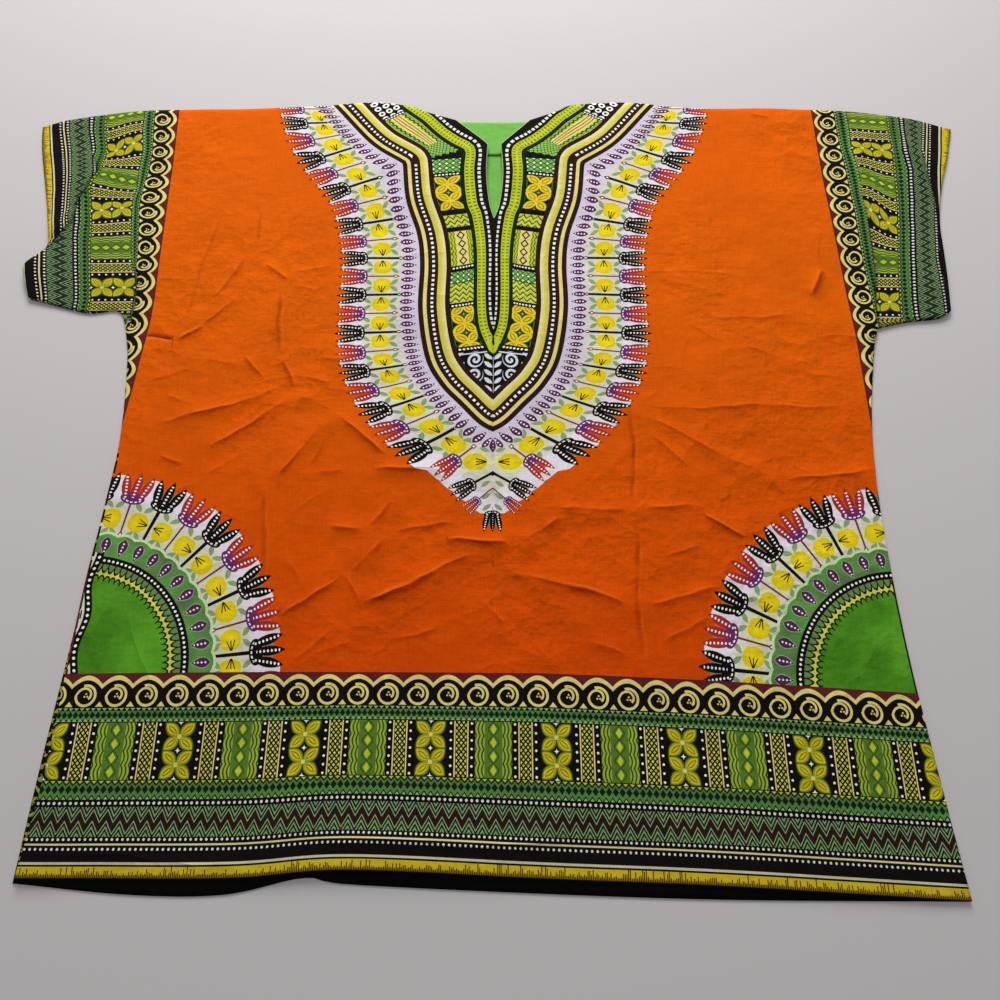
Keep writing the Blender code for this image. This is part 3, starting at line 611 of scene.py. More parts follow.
def crease_coordinates(across, down):
    """Signed millimetres beside the strongest crease near each point, and its height there in millimetres.

    The height fades to nothing where another crease becomes the strongest one, so that it never jumps.
    """
    across, down = wander(across, down)
    best, second, beside, turn = (np.full(across.shape, start) for start in (0.0, 0.0, 99.0, 1.0))
    for row in np.vstack((CREASES, drawn_creases(*SMALL_CREASES))):
        away, side, share = segment(across, down, row)
        rise = abs(row[4]) * MM * ends(share)
        strength = rise * np.exp(-(away / 0.012) ** 2)
        closer = strength > best
        second = np.maximum(second, np.minimum(best, strength))
        best = np.where(closer, strength, best)
        beside = np.where(closer, away * side * MM, beside)
        turn = np.where(closer, math.copysign(1.0, row[4]), turn)
    return beside, turn * best * np.clip(1.0 - second / np.maximum(best, 1e-9), 0.0, 1.0) ** 2.5


def neckline_distance(across, down):
    """Millimetres to the neck's and the slit's edges."""
    edges = (smooth(curve) for curve in (NECK_LEFT, SLIT_LEFT, NECK_RIGHT, SLIT_RIGHT))
    return np.min([nearest(edge, across, down)[0] for edge in edges], axis=0) * MM


def drawn_creases(seed, count, box):
    """Short creases set out by a seeded draw inside a box of across and down."""
    draw = np.random.default_rng(seed)
    x = draw.uniform(box[0], box[1], count)
    y = draw.uniform(box[2], box[3], count)
    turn = draw.normal(0.15, 0.75, count)
    length = draw.uniform(0.018, 0.075, count)
    height = draw.uniform(0.0002, 0.0006, count)
    width = draw.uniform(0.0035, 0.0075, count)
    skew = draw.uniform(-0.4, 0.4, count)
    end_x, end_y = x + length * np.cos(turn), y - length * np.sin(turn)
    return np.column_stack((x, y, end_x, end_y, height, width, skew))


def wave_height(across, down):
    """Sum of long sines in drawn directions, each fading in and out over the cloth by a slower sine."""
    draw = np.random.default_rng(WAVE_SEED)
    height = np.zeros(across.shape)
    for _ in range(WAVES):
        turn, length = draw.uniform(0.0, math.pi), draw.uniform(0.05, 0.22)
        phase = draw.uniform(0.0, 6.3, 2)
        along = across * math.cos(turn) + down * math.sin(turn)
        beside = down * math.cos(turn) - across * math.sin(turn)
        fade = 0.5 + 0.5 * np.sin(beside / (0.4 * length) + phase[1])
        height += length * fade * np.sin(2.0 * math.pi * along / length + phase[0])
    return WAVE_SIZE * height


def front_height(across, down):
    """Top of the front: flat on the back, over the facing, then its folds, creases and waves."""
    beside_facing = np.clip(np.abs(across - FACING_MIDDLE) - FACING_HALF, 0.0, None)
    from_facing = np.hypot(beside_facing, np.clip(down - FACING_DOWN, 0.0, None))
    lift = FACING_RISE * (1.0 - smoothstep(*FACING_EASE, from_facing))
    bent = wander(across, down)
    lift = lift + broad_height(*bent) + np.maximum(sharp_height(*bent, CREASES), DEEPEST)
    lift = lift + sharp_height(*bent, drawn_creases(*SMALL_CREASES))
    wave = np.clip(wave_height(across, down) + WAVE_LEVEL, 0.0, None)
    from_fold = np.clip(down - read(shoulder, across, 0), 0.0, None)
    return FRONT_TOP + lift + wave - FOLD_DROP * np.exp(-from_fold / FOLD_REACH)


# ---------------------------------------------------------------- grids
def sections(marks, counts):
    """Values that run through the marks, with an even number of steps between each pair of them."""
    runs = [low + (high - low) * np.arange(count)[:, None] / count
            for low, high, count in zip(marks[:-1], marks[1:], counts)]
    return np.vstack(runs + [marks[-1][None, :]])


def steps(length, step):
    """Number of grid steps along a length."""
    return max(2, round(length / step))


class Cut:
    """One panel's edges as curves, and its grid."""

    def __init__(self, hem, side_left_edge, step, split):
        self.hem, self.step, self.split = smooth(hem), step, split
        self.sides = {-1: smooth(side_left_edge), 1: smooth(SIDE_RIGHT)}
        neck = () if split else BACK_NECK[1:-1]
        self.top = np.vstack((smooth(SHOULDER_LEFT), np.array(neck).reshape(-1, 2), smooth(SHOULDER_RIGHT)))
        self.necks = {-1: np.vstack((smooth(NECK_LEFT), smooth(SLIT_LEFT)[1:])),
                      1: np.vstack((smooth(NECK_RIGHT), smooth(SLIT_RIGHT)[1:]))}
        self.lines = {-1: side_left, 1: side_right}
        self.cuffs = {-1: smooth(CUFF_LEFT), 1: smooth(CUFF_RIGHT)}
        self.underarms = {-1: smooth(UNDERARM_LEFT), 1: smooth(UNDERARM_RIGHT)}
        self.rows = tuple(steps(reach, step) for reach in ROW_LENGTHS + (BORDER,))
        self.columns = (3, steps(HALF_FIELD, step))

    def marks(self, across, side):
        """Down of the rows that follow a line: shoulder, slit's end, underarm, hem's border, hem."""
        pit = self.underarms[side][0]
        underarm = PIT_DOWN + np.clip(across / pit[0], 0.0, 1.0) * (pit[1] - PIT_DOWN)
        return (read(self.top, across, 0), np.full(across.shape, SLIT_TIP), underarm,
                read(hem_line, across, 0), read(self.hem, across, 0))

    def across_at(self, down, side):
        """Across on every column at the given down of each row: edge, print line, then the middle."""
        pit = self.underarms[side][0]
        edge = np.where(down[:, 0] < pit[1], pit[0], read(self.sides[side], down[:, 0], 1))
        line = read(self.lines[side], down[:, 1], 1)
        line = side * np.minimum(side * line, side * edge - LINE_GAP)
        middle = np.full(edge.shape, GRID_MIDDLE)
        if self.split:
            middle = np.where(down[:, -1] < SLIT_TIP, read(self.necks[side], down[:, -1], 1), middle)
        return sections((edge, line, middle), self.columns).T

    def body(self, side):
        """Half of the body: rows and columns are worked out from each other a few times, until both hold."""
        count = sum(self.columns) + 1
        near = self.necks[side][0][0] if self.split else MIDDLE
        across = np.linspace(self.underarms[side][0][0], near, count)
        down = sections(self.marks(across, side), self.rows)
        for _ in range(ROUNDS):
            grid = self.across_at(down[:, [0, self.columns[0], -1]], side)
            down = self.down_each(grid, side)
        return np.stack((grid, down), axis=-1)

    def down_each(self, grid, side):
        """Down of every grid point from its own across and its row."""
        marks = self.marks(grid, side)
        row, down, first = np.arange(len(grid))[:, None], np.zeros(grid.shape), 0
        for low, high, count in zip(marks[:-1], marks[1:], self.rows):
            t = (row - first) / count
            down = np.where((t >= 0.0) & (t <= 1.0), low + (high - low) * t, down)
            first += count
        return down

    def sleeve(self, side, inner):
        """Sleeve as a blend of its four edges: the body's column, the cuff, shoulder and underarm."""
        w = (inner[:, 1] - inner[0, 1]) / (inner[-1, 1] - inner[0, 1])
        t = np.linspace(0.0, 1.0, steps(SLEEVE_LENGTH, self.step) + 1)
        cuff_top, cuff_end = self.cuffs[side][0], self.cuffs[side][-1]
        cuff_down = cuff_top[1] + (cuff_end[1] - cuff_top[1]) * w
        cuff = np.column_stack((read(self.cuffs[side], cuff_down, 1), cuff_down))
        upper_across = inner[0, 0] + (cuff_top[0] - inner[0, 0]) * t
        upper = np.column_stack((upper_across, read(self.top, upper_across, 0)))
        lower_across = inner[-1, 0] + (cuff_end[0] - inner[-1, 0]) * t
        lower = np.column_stack((lower_across, read(self.underarms[side], lower_across, 0)))
        upper[-1], lower[-1] = cuff[0], cuff[-1]
        t, w = t[None, :, None], w[:, None, None]
        both = (1.0 - w) * upper[None] + w * lower[None] + (1.0 - t) * inner[:, None] + t * cuff[:, None]
        both = both - (1.0 - w) * ((1.0 - t) * upper[0] + t * upper[-1])
        return both - w * ((1.0 - t) * lower[0] + t * lower[-1])

    def patches(self):
        """The four patches of the panel: both halves of the body and both sleeves."""
        found = []
        for side in (-1, 1):
            half = self.body(side)
            found.append(half)
            found.append(self.sleeve(side, half[:self.rows[0] + self.rows[1] + 1, 0]))
        return found


def join(patches):
    """One set of points and upward quads from several grids, with the points that they share made one."""
    points, quads, first = [], [], 0
    for patch in patches:
        rows, columns = patch.shape[:2]
        index = first + np.arange(rows * columns).reshape(rows, columns)
        corners = index[:-1, :-1], index[1:, :-1], index[1:, 1:], index[:-1, 1:]
        quads.append(np.stack(corners, axis=-1).reshape(-1, 4))
        points.append(patch.reshape(-1, 2))
        first += rows * columns
    points, quads = np.vstack(points), np.vstack(quads)
    cells = np.round(points * CELLS).astype(np.int64)
    _, kept, place = np.unique(cells, axis=0, return_index=True, return_inverse=True)
    return points[kept], upward(points[kept], place.reshape(-1)[quads])


def upward(points, quads):
    """Quads turned so that their faces point up, without the ones that have no area."""
    a, b, c, d = (points[quads[:, k]] for k in range(4))
    area = (c - a)[:, 0] * (d - b)[:, 1] - (c - a)[:, 1] * (d - b)[:, 0]
    quads = np.where(area[:, None] > 0.0, quads[:, ::-1], quads)
    return quads[np.abs(area) > 1e-9]


def add_object(name, data):
    """New object of some data, in the scene."""
    item = bpy.data.objects.new(name, data)
    bpy.context.scene.collection.objects.link(item)
    return item


def sheet_mesh(name, points, quads, height, thickness, lining=0):
    """Object from a plan of (across, down) points and their heights, with a live Solidify for its wall."""
    mesh = bpy.data.meshes.new(name)
    where = np.column_stack((points[:, 0], HALF_LENGTH - points[:, 1], height))
    mesh.vertices.add(len(where))
    mesh.vertices.foreach_set("co", where.astype(np.float32).ravel())
    mesh.loops.add(quads.size)
    mesh.loops.foreach_set("vertex_index", quads.astype(np.int32).ravel())
    mesh.polygons.add(len(quads))
    mesh.polygons.foreach_set("loop_start", np.arange(0, quads.size, 4, dtype=np.int32))
    mesh.polygons.foreach_set("loop_total", np.full(len(quads), 4, dtype=np.int32))
    mesh.update(calc_edges=True)
    mesh.validate()
    mesh.shade_smooth()
    piece = add_object(name, mesh)
    wall = piece.modifiers.new("thickness", "SOLIDIFY")
    wall.thickness = thickness
    wall.offset = -1.0
    wall.material_offset = lining
    wall.material_offset_rim = lining
    return piece


def keep_vectors(mesh, name, *columns):
    """Point attribute of up to three columns, which the materials read."""
    values = np.zeros((len(mesh.vertices), 3), dtype=np.float32)
    for k, column in enumerate(columns):
        values[:, k] = column
    mesh.attributes.new(name, "FLOAT_VECTOR", "POINT").data.foreach_set("vector", values.ravel())


def keep_corners(mesh, name, along, away):
    """UV map of two values at each face corner, which the materials read."""
    layer = mesh.uv_layers.new(name=name)
    layer.data.foreach_set("uv", np.column_stack((along.ravel(), away.ravel())).astype(np.float32).ravel())


# ---------------------------------------------------------------- shader arithmetic
def arithmetic(operation):
    """Operator on a Value and another one, or a number, that adds a Math node."""
    return lambda self, other: compute(operation, self, other)


class Value:
    """A number that varies over the surface. Arithmetic on it adds Math nodes to its tree."""

    def __init__(self, tree, socket):
        self.tree, self.socket = tree, socket

    __add__ = __radd__ = arithmetic("ADD")
    __sub__ = arithmetic("SUBTRACT")
    __mul__ = __and__ = arithmetic("MULTIPLY")
    __or__ = arithmetic("MAXIMUM")
    __truediv__ = arithmetic("DIVIDE")
    __lt__ = arithmetic("LESS_THAN")
    __gt__ = arithmetic("GREATER_THAN")

    def __rsub__(self, other):
        return compute("SUBTRACT", other, self)

    def __neg__(self):
        return compute("MULTIPLY", self, -1.0)

    def __invert__(self):
        return compute("SUBTRACT", 1.0, self)


def feed(tree, item, socket):
    """Link a Value or a socket to a node's input, or set the input to a number or a colour."""
    if isinstance(item, Value):
        item = item.socket
    if isinstance(item, bpy.types.NodeSocket):
        tree.links.new(item, socket)
    else:
        socket.default_value = item


def compute(operation, *inputs):
    """Math node on Values and plain numbers."""
    tree = next(item.tree for item in inputs if isinstance(item, Value))
    node = tree.nodes.new("ShaderNodeMath")
    node.operation = operation
    for item, socket in zip(inputs, node.inputs):
        feed(tree, item, socket)
    return Value(tree, node.outputs[0])


def absolute(value):
    """Size of a value without its sign."""
    return compute("ABSOLUTE", value)


def within(value, low, high):
    """One between low and high."""
    return compute("COMPARE", value, 0.5 * (low + high), 0.5 * (high - low))


def zigzag(value, period):
    """Distance from the nearest whole number of periods: 0 to half a period and back."""
    return compute("PINGPONG", value, 0.5 * period)


def repeat(value, period):
    """Signed distance from the middle of the nearest period, with a middle at zero."""
    return compute("WRAP", value, 0.5 * period, -0.5 * period)


def sine(value, period, phase=0.0):
    """Sine wave of the given period."""
    return compute("SINE", compute("MULTIPLY_ADD", value, 2.0 * math.pi / period, phase))


def length(x, y):
    """Length of the vector (x, y)."""
    return compute("SQRT", compute("MULTIPLY_ADD", x, x, y * y))


def oval(x, y, half_x, half_y):
    """Under one inside an oval with these half axes."""
    return length(x / half_x, y / half_y)


def lozenge(x, y, half_x, half_y):
    """Under one inside a lozenge with these half diagonals."""
    return absolute(x) / half_x + absolute(y) / half_y


def star(x, y):
    """Square of the reach of a four-pointed star with hollow sides, as the sum of the square roots."""
    return compute("SQRT", absolute(x)) + compute("SQRT", absolute(y))


def lens(x, y, half_length, half_width):
    """One inside a pointed leaf that lies along x."""
    t = x / half_length
    return absolute(y) / half_width < compute("MULTIPLY_ADD", t * -1.0, t, 1.0)


def falling(value, rate):
    """One where the value is zero, and less by an exponential to both sides."""
    return compute("EXPONENT", absolute(value) * -rate)


def turned(x, y, degrees):
    """The two coordinates seen from axes turned by an angle."""
    cosine, sinus = math.cos(math.radians(degrees)), math.sin(math.radians(degrees))
    return compute("MULTIPLY_ADD", x, cosine, y * sinus), compute("MULTIPLY_ADD", y, cosine, x * -sinus)


def ramp(value, low, high):
    """Zero up to low, one from high, and even between them. Low may be the greater."""
    node = compute("MULTIPLY", value - low, 1.0 / (high - low))
    node.socket.node.use_clamp = True
    return node


def own_place(tree):
    """Vector socket of the piece's own coordinates, in metres."""
    return tree.nodes.new("ShaderNodeTexCoord").outputs["Object"]


def parts(tree, vector):
    """The three Values of a vector socket."""
    split = tree.nodes.new("ShaderNodeSeparateXYZ")
    tree.links.new(vector, split.inputs[0])
    return tuple(Value(tree, socket) for socket in split.outputs)


def noise(tree, scale_x, scale_y, detail):
    """Soft noise from 0 to 1 on the piece, with its own scale in both directions."""
    mapping = tree.nodes.new("ShaderNodeMapping")
    mapping.inputs["Scale"].default_value = (scale_x, scale_y, 1.0)
    tree.links.new(own_place(tree), mapping.inputs["Vector"])
    node = tree.nodes.new("ShaderNodeTexNoise")
    node.inputs["Scale"].default_value = 1.0
    node.inputs["Detail"].default_value = detail
    tree.links.new(mapping.outputs[0], node.inputs["Vector"])
    return Value(tree, node.outputs[0])


def linear(red, green, blue):
    """Scene colour of a screen colour given in 0 to 255."""
    shares = np.array((red, green, blue)) / 255.0
    shares = np.where(shares <= 0.04045, shares / 12.92, ((shares + 0.055) / 1.055) ** 2.4)
    return (*(float(share) for share in shares), 1.0)


def paint(under, mask, colour):
    """Lay a colour over another by a mask from zero to one. Colours are sockets or fixed values."""
    node = mask.tree.nodes.new("ShaderNodeMix")
    node.data_type = "RGBA"
    for item, place in ((mask, 0), (under, 6), (colour, 7)):
        feed(mask.tree, item, node.inputs[place])
    return node.outputs[2]


def lay(colour, *coats, inside=None):
    """Lay coats over a colour in turn, each a mask and its colour, and only inside a region if given."""
    for mask, coat in coats:
        colour = paint(colour, mask if inside is None else inside & mask, coat)
    return colour


INK = linear(17, 13, 11)
BROWN_BLACK = linear(40, 22, 18)
BROWN_INK = linear(44, 22, 16)
GREEN_BLACK = linear(14, 34, 14)
GREEN_DARK = linear(38, 74, 30)
GREEN_GREY = linear(104, 142, 104)
GREEN_FRESH = linear(112, 166, 72)
GREEN_NECK = linear(112, 174, 77)
LEAF = linear(132, 152, 108)
LIME = linear(180, 190, 46)
LIME_DARK = linear(92, 108, 16)
MESH_GREEN = linear(138, 172, 104)
ORANGE = linear(210, 88, 0)
# Orange in painted shade, laid on the field towards the hem.
ORANGE_SHADED = linear(201, 68, 0)
CREAM = linear(214, 198, 118)
WHITE = linear(236, 234, 224)
YELLOW = linear(226, 204, 26)
BLOSSOM_RIM = linear(212, 184, 22)
BLOSSOM_HALO = linear(208, 212, 140)
PURPLE = linear(78, 36, 74)
PURPLE_DARK = linear(92, 36, 96)
STEM_RED = linear(112, 40, 62)
DROP_EDGE = linear(210, 196, 214)


# ---------------------------------------------------------------- node groups
OUTPUT_KINDS = {"Roughness": "NodeSocketFloat", "Normal": "NodeSocketVector"}


def new_group(name, numbers, colours, outputs=("Colour",)):
    """Empty node group with its named sockets, and its input Values and colour sockets by name."""
    tree = bpy.data.node_groups.new(name, "ShaderNodeTree")
    for label in numbers:
        tree.interface.new_socket(label, in_out="INPUT", socket_type="NodeSocketFloat")
    for label in colours:
        tree.interface.new_socket(label, in_out="INPUT", socket_type="NodeSocketColor")
    for label in outputs:
        kind = OUTPUT_KINDS.get(label, "NodeSocketColor")
        tree.interface.new_socket(label, in_out="OUTPUT", socket_type=kind)
    source = tree.nodes.new("NodeGroupInput")
    given = {label: Value(tree, source.outputs[label]) for label in numbers}
    given.update({label: source.outputs[label] for label in colours})
    return tree, given


def close_group(tree, **outputs):
    """Feed a group's outputs by name, and return the group."""
    target = tree.nodes.new("NodeGroupOutput")
    for label, item in outputs.items():
        feed(tree, item, target.inputs[label])
    return tree


def place_group(tree, name, **inputs):
    """Put a group into a tree, feed its inputs by name, and return its outputs."""
    node = tree.nodes.new("ShaderNodeGroup")
    node.node_tree = groups[name]
    for label, item in inputs.items():
        feed(tree, item, node.inputs[label])
    return node.outputs


def build_cloth_finish():
    """Plain weave on any colour: slubbed threads, uneven dye, fine crumpling and the creases' crests."""
    tree, given = new_group("cloth_finish", ("Crumple", "Crease"), ("Colour",),
                            ("Colour", "Roughness", "Normal"))
    x, y, _ = parts(tree, own_place(tree))
    slubs = noise(tree, 1100.0, 34.0, 2.0) + noise(tree, 34.0, 1100.0, 2.0)
    cloud, wide = noise(tree, 17.0, 17.0, 4.0), noise(tree, 13.0, 15.0, 4.0)
    fine, streak = noise(tree, 46.0, 40.0, 3.0), noise(tree, 62.0, 17.0, 2.0)
    calm = noise(tree, 5.0, 4.0, 1.0)
    shade = tree.nodes.new("ShaderNodeVectorMath")
    shade.operation = "SCALE"
    tree.links.new(given["Colour"], shade.inputs[0])
    feed(tree, slubs * 0.34 + cloud * 0.30 + 0.52, shade.inputs["Scale"])
    weave = sine(x, THREAD) * sine(y, THREAD)
    crinkled = (ramp(calm, 0.36, 0.60) * 0.75 + 0.25) * given["Crumple"]
    ridges = absolute(wide - 0.5) * 0.0115 + absolute(fine - 0.5) * 0.0032 + absolute(streak - 0.5) * 0.0022
    height = weave * 0.00002 + slubs * 0.00010 - ridges * crinkled + given["Crease"] * 0.001
    bump = tree.nodes.new("ShaderNodeBump")
    bump.inputs["Strength"].default_value = 1.0
    bump.inputs["Distance"].default_value = 1.0
    feed(tree, height, bump.inputs["Height"])
    return close_group(tree, Colour=shade.outputs[0], Roughness=cloud * 0.10 + 0.85, Normal=bump.outputs[0])


def build_drop_row():
    """Row of long drops, pointed at the near end, with pale dots in each. Drops are numbered on by Count."""
    tree, given = new_group("drop_row", ("Count", "Away", "Pitch", "Stout"), ("Colour", "Edge"))
    away = given["Away"]
    x = repeat(given["Count"], 1.0) * given["Pitch"]
    side = absolute(x)
    t = away / 8.8
    body = compute("MULTIPLY_ADD", t * -1.0, t, 1.0) * (t * 0.42 + 1.0) * given["Stout"]
    up = away - 1.0
    dots = (length(x, repeat(up, 3.4)) < 0.9) & within(up, -7.0, 5.2) & (side < body + 0.5)
    return close_group(tree, Colour=lay(
        given["Colour"], (side < body + 0.7, given["Edge"]), (side < body, PURPLE), (dots, WHITE)))


def build_tulip():
    """Tulip of three long dotted petals over a cup. X is across it and Rise up it, both in millimetres."""
    tree, given = new_group("tulip", ("X", "Rise", "Black"), ("Under",))
    x, rise, black = given["X"], given["Rise"], given["Black"]
    side = absolute(x)
    purple = paint(PURPLE_DARK, ramp(rise, 5.0, 16.0), linear(158, 44, 40))
    heart = (side < 7.8) & within(rise, 5.0, 23.0)
    heart_colour = paint(linear(204, 88, 52), black, linear(150, 112, 92))
    outer_x, outer_y = turned(rise - 17.0, side - 7.0, 8.0)
    petals = lens(rise - 18.0, x, 15.6, 3.1) | lens(outer_x, outer_y, 15.0, 3.3)
    cup = oval(x, rise - 6.4, 9.0, 6.4) < 1.0
    dots = (length(x, repeat(rise, 3.5)) < 0.9) & within(rise, 7.0, 28.5)
    dots = dots | (length(outer_y, repeat(outer_x, 3.5)) < 0.9) & (absolute(outer_x) < 12.2)
    rim = absolute(oval(x, rise - 6.8, 6.6, 4.4) - 1.0) < 0.14
    dots = dots | rim & (rise < 5.2) & (zigzag(x, 3.2) < 0.9)
    return close_group(tree, Colour=lay(
        given["Under"], (heart, heart_colour), (petals | cup, paint(purple, black, INK)), (dots, WHITE)))


def build_flower_ring():
    """Ring of yellow blossoms and leaves between tulips on stems, on a pale ground.

    Stem counts the tulips; they're black where it is odd and purple where it is even. Away is in
    millimetres: stems start near 20 and the tips of the tulips are at 90.
    """
    tree, given = new_group("flower_ring", ("Stem", "Away"), ("Outside",), ("Colour", "Flowers", "Ground"))
    number, away = given["Stem"], given["Away"]
    x, gap = repeat(number, 1.0) * STEM_STEP, repeat(number + 0.5, 1.0) * STEM_STEP
    side = absolute(x)
    from_black = absolute(repeat(number - 1.0, 2.0)) * STEM_STEP
    black = from_black < 0.5 * STEM_STEP
    blur = noise(tree, 70.0, 70.0, 3.0)
    ragged = away + blur * 10.0
    ground = paint(linear(200, 188, 204), ramp(ragged, 20.0, 30.0), linear(205, 200, 180))
    ground = paint(ground, ramp(ragged, 58.0, 68.0), linear(220, 212, 218))
    ground = paint(given["Outside"], away < 80.0 + ramp(side, 5.0, 9.5) * 6.0, ground)
    # Blossoms, one in each gap, with dark stamens that start at the black stem, and leaves beside the stems.
    up = away - 41.0
    halo = oval(gap, up, 10.4, 12.0)
    petals = oval(gap, up, 8.2, 9.4) - absolute(sine(gap, 16.8)) * 0.10 + (blur - 0.5) * 0.5
    up = absolute(up)
    stamens = (up < 0.55) | (absolute(up - (from_black - 2.0) * 0.42) < 0.55)
    near_x, near_y = turned(side - 7.4, away - 27.5, 50.0)
    far_x, far_y = turned(side - 7.2, away - 56.0, 126.0)
    flowers = lay(
        ground,
        (ramp(halo + blur * 0.6, 1.45, 1.05), BLOSSOM_HALO),
        (petals < 1.0, YELLOW),
        (ramp(petals, 0.2, 1.0) & (petals < 1.0), BLOSSOM_RIM),
        (stamens & within(from_black, 3.0, 11.0) & (up < 4.6), BROWN_INK),
        (lens(near_x, near_y, 5.6, 2.3) | lens(far_x, far_y, 5.4, 2.2), LEAF))
    # Stems with a small bud at the inner end; the black ones are longer and stouter.
    start = black * -5.0 + 26.0
    stem = (side < black * 0.6 + 0.8) & (away > start) & (away < 62.0)
    bud = lozenge(side, away - start, 2.3, 4.6)
    colour = lay(flowers, (stem | (bud < 1.0), paint(STEM_RED, black, INK)), (bud < 0.42, WHITE))
    tulip = place_group(tree, "tulip", X=x, Rise=away - 57.0, Black=black, Under=colour)
    return close_group(tree, Colour=tulip["Colour"], Flowers=flowers, Ground=ground)


def build_pendant():
    """Lowest point of the ring round the neck: a spray of tulips, leaves and blossoms, alike on both sides.

    Half is the distance from the middle line and Row the one below the shoulder, both in millimetres.
    """
    tree, given = new_group("pendant", ("Half", "Row"), ("Ground", "Outside"))
    half, row = given["Half"], given["Row"]
    limit = 15.0 - (row - 514.0) * 1.2 + sine(row, 11.0) * 2.0
    outside = (row > 480.0) & ((half > limit) | (row > 515.0))
    # Blossoms with their stamens, then leaves up the middle.
    blossom = oval(half - 17.5, row - 461.0, 12.6, 9.2) + absolute(sine(half, 12.0)) * 0.08
    fan = absolute(row - 461.0)
    stamens = (fan < 0.6) | (absolute(fan - (half - 5.0) * 0.28) < 0.6)
    colour = lay(
        given["Ground"],
        (outside, given["Outside"]),
        (ramp(blossom, 1.5, 1.0), BLOSSOM_HALO),
        (blossom < 1.0, YELLOW),
        (ramp(blossom, 0.2, 1.0) & (blossom < 1.0), BLOSSOM_RIM),
        (stamens & within(half, 6.0, 17.0), BROWN_INK))
    for at_half, at_row, turn in PENDANT_LEAVES:
        leaf_x, leaf_y = turned(half - at_half, row - at_row, turn)
        colour = paint(colour, lens(leaf_x, leaf_y, 5.4, 2.2), LEAF)
    for at_half, at_row, turn, reach, wide, tall, black, stout in PENDANT_TULIPS:
        rise, x = turned(half - at_half, row - at_row, turn)
        stem = (absolute(x) < stout) & within(rise, 0.0, reach + 2.0)
        colour = paint(colour, stem, INK if black else STEM_RED)
        colour = place_group(tree, "tulip", X=x / wide, Rise=(rise - reach) / tall, Black=black,
                             Under=colour)["Colour"]
    bud = lozenge(half - 19.0, row - 444.5, 3.0, 3.0)
    knot = lozenge(half, row - 473.5, 4.0, 3.2)
    return close_group(tree, Colour=lay(
        colour, (bud < 1.0, STEM_RED), (bud < 0.5, WHITE), (knot < 1.0, INK)))


# ---------------------------------------------------------------- materials
class Finish:
    """A cloth material under construction: its tree, its coordinates and its final shader."""

    def __init__(self, name):
        self.material = bpy.data.materials.new(name)
        self.material.use_nodes = True
        self.tree = self.material.node_tree
        self.shader = self.tree.nodes["Principled BSDF"]
        self.shader.inputs["Roughness"].default_value = 0.8
        self.shader.inputs["Specular IOR Level"].default_value = 0.06

    def place(self, axis):
        """One of the piece's own coordinates in metres: 0 is across, 1 from the hem to the neck."""
        return parts(self.tree, own_place(self.tree))[axis]

    def noise(self, scale_x, scale_y, detail):
        """Soft noise on the piece."""
        return noise(self.tree, scale_x, scale_y, detail)

    def attribute(self, name):
        """The three Values of a point attribute."""
        node = self.tree.nodes.new("ShaderNodeAttribute")
        node.attribute_name = name
        return parts(self.tree, node.outputs["Vector"])

    def border_map(self):
        """The two Values of the border's map: along and away."""
        node = self.tree.nodes.new("ShaderNodeUVMap")
        node.uv_map = "border"
        return parts(self.tree, node.outputs[0])[:2]

    def close(self, colour, crumple, creased=True):
        """Feed the colour through the cloth finish into the shader, with the creases' sharp crests."""
        crest = 0.0
        if creased:
            beside, height, _ = self.attribute("crease")
            crest = falling(beside, 0.40) * height * 0.9
        finish = place_group(self.tree, "cloth_finish", Colour=colour, Crumple=crumple, Crease=crest)
        for socket, label in (("Base Color", "Colour"), ("Roughness", "Roughness"), ("Normal", "Normal")):
            self.tree.links.new(finish[label], self.shader.inputs[socket])
        return self.material


def field_colour(finish):
    """Orange in painted shade towards the hem, with painted shade on each crease's shaded side and a painted
    highlight on its lit crest.
    """
    beside, height, _ = finish.attribute("crease")
    # Painted shade on each crease's shaded side and painted highlight on its lit side, by the distance
    # beside its crest.
    beside = beside * compute("SIGN", height)
    painted_shade = falling(beside + 2.2, 0.26) * absolute(height)
    pale = falling(beside - 1.8, 0.55) * absolute(height)
    return lay(
        ORANGE_SHADED,
        # Painted shade: the plain orange gives way to a darker, redder one towards the hem.
        (ramp(finish.place(1), -0.24, 0.14), ORANGE),
        (ramp(painted_shade, 0.2, 1.5) * 0.72, linear(142, 30, 0)),
        (ramp(pale, 0.3, 1.4) * 0.32, linear(238, 122, 30)))


def field_cloth():
    """Plain orange field."""
    finish = Finish("field_cloth")
    return finish.close(field_colour(finish), 1.0)


def inside_cloth():
    """Plain green of the facing."""
    return Finish("inside_cloth").close(GREEN_NECK, 0.4, creased=False)


def border_green(finish, away, start, end):
    """Green of the border's bands: greyer at the start, fresher at the end and in clouds."""
    fresh = ramp(away, start, end) * 0.55 + ramp(finish.noise(14.0, 14.0, 2.0), 0.45, 0.75) * 0.6
    return paint(linear(82, 104, 66), fresh, linear(80, 136, 56))


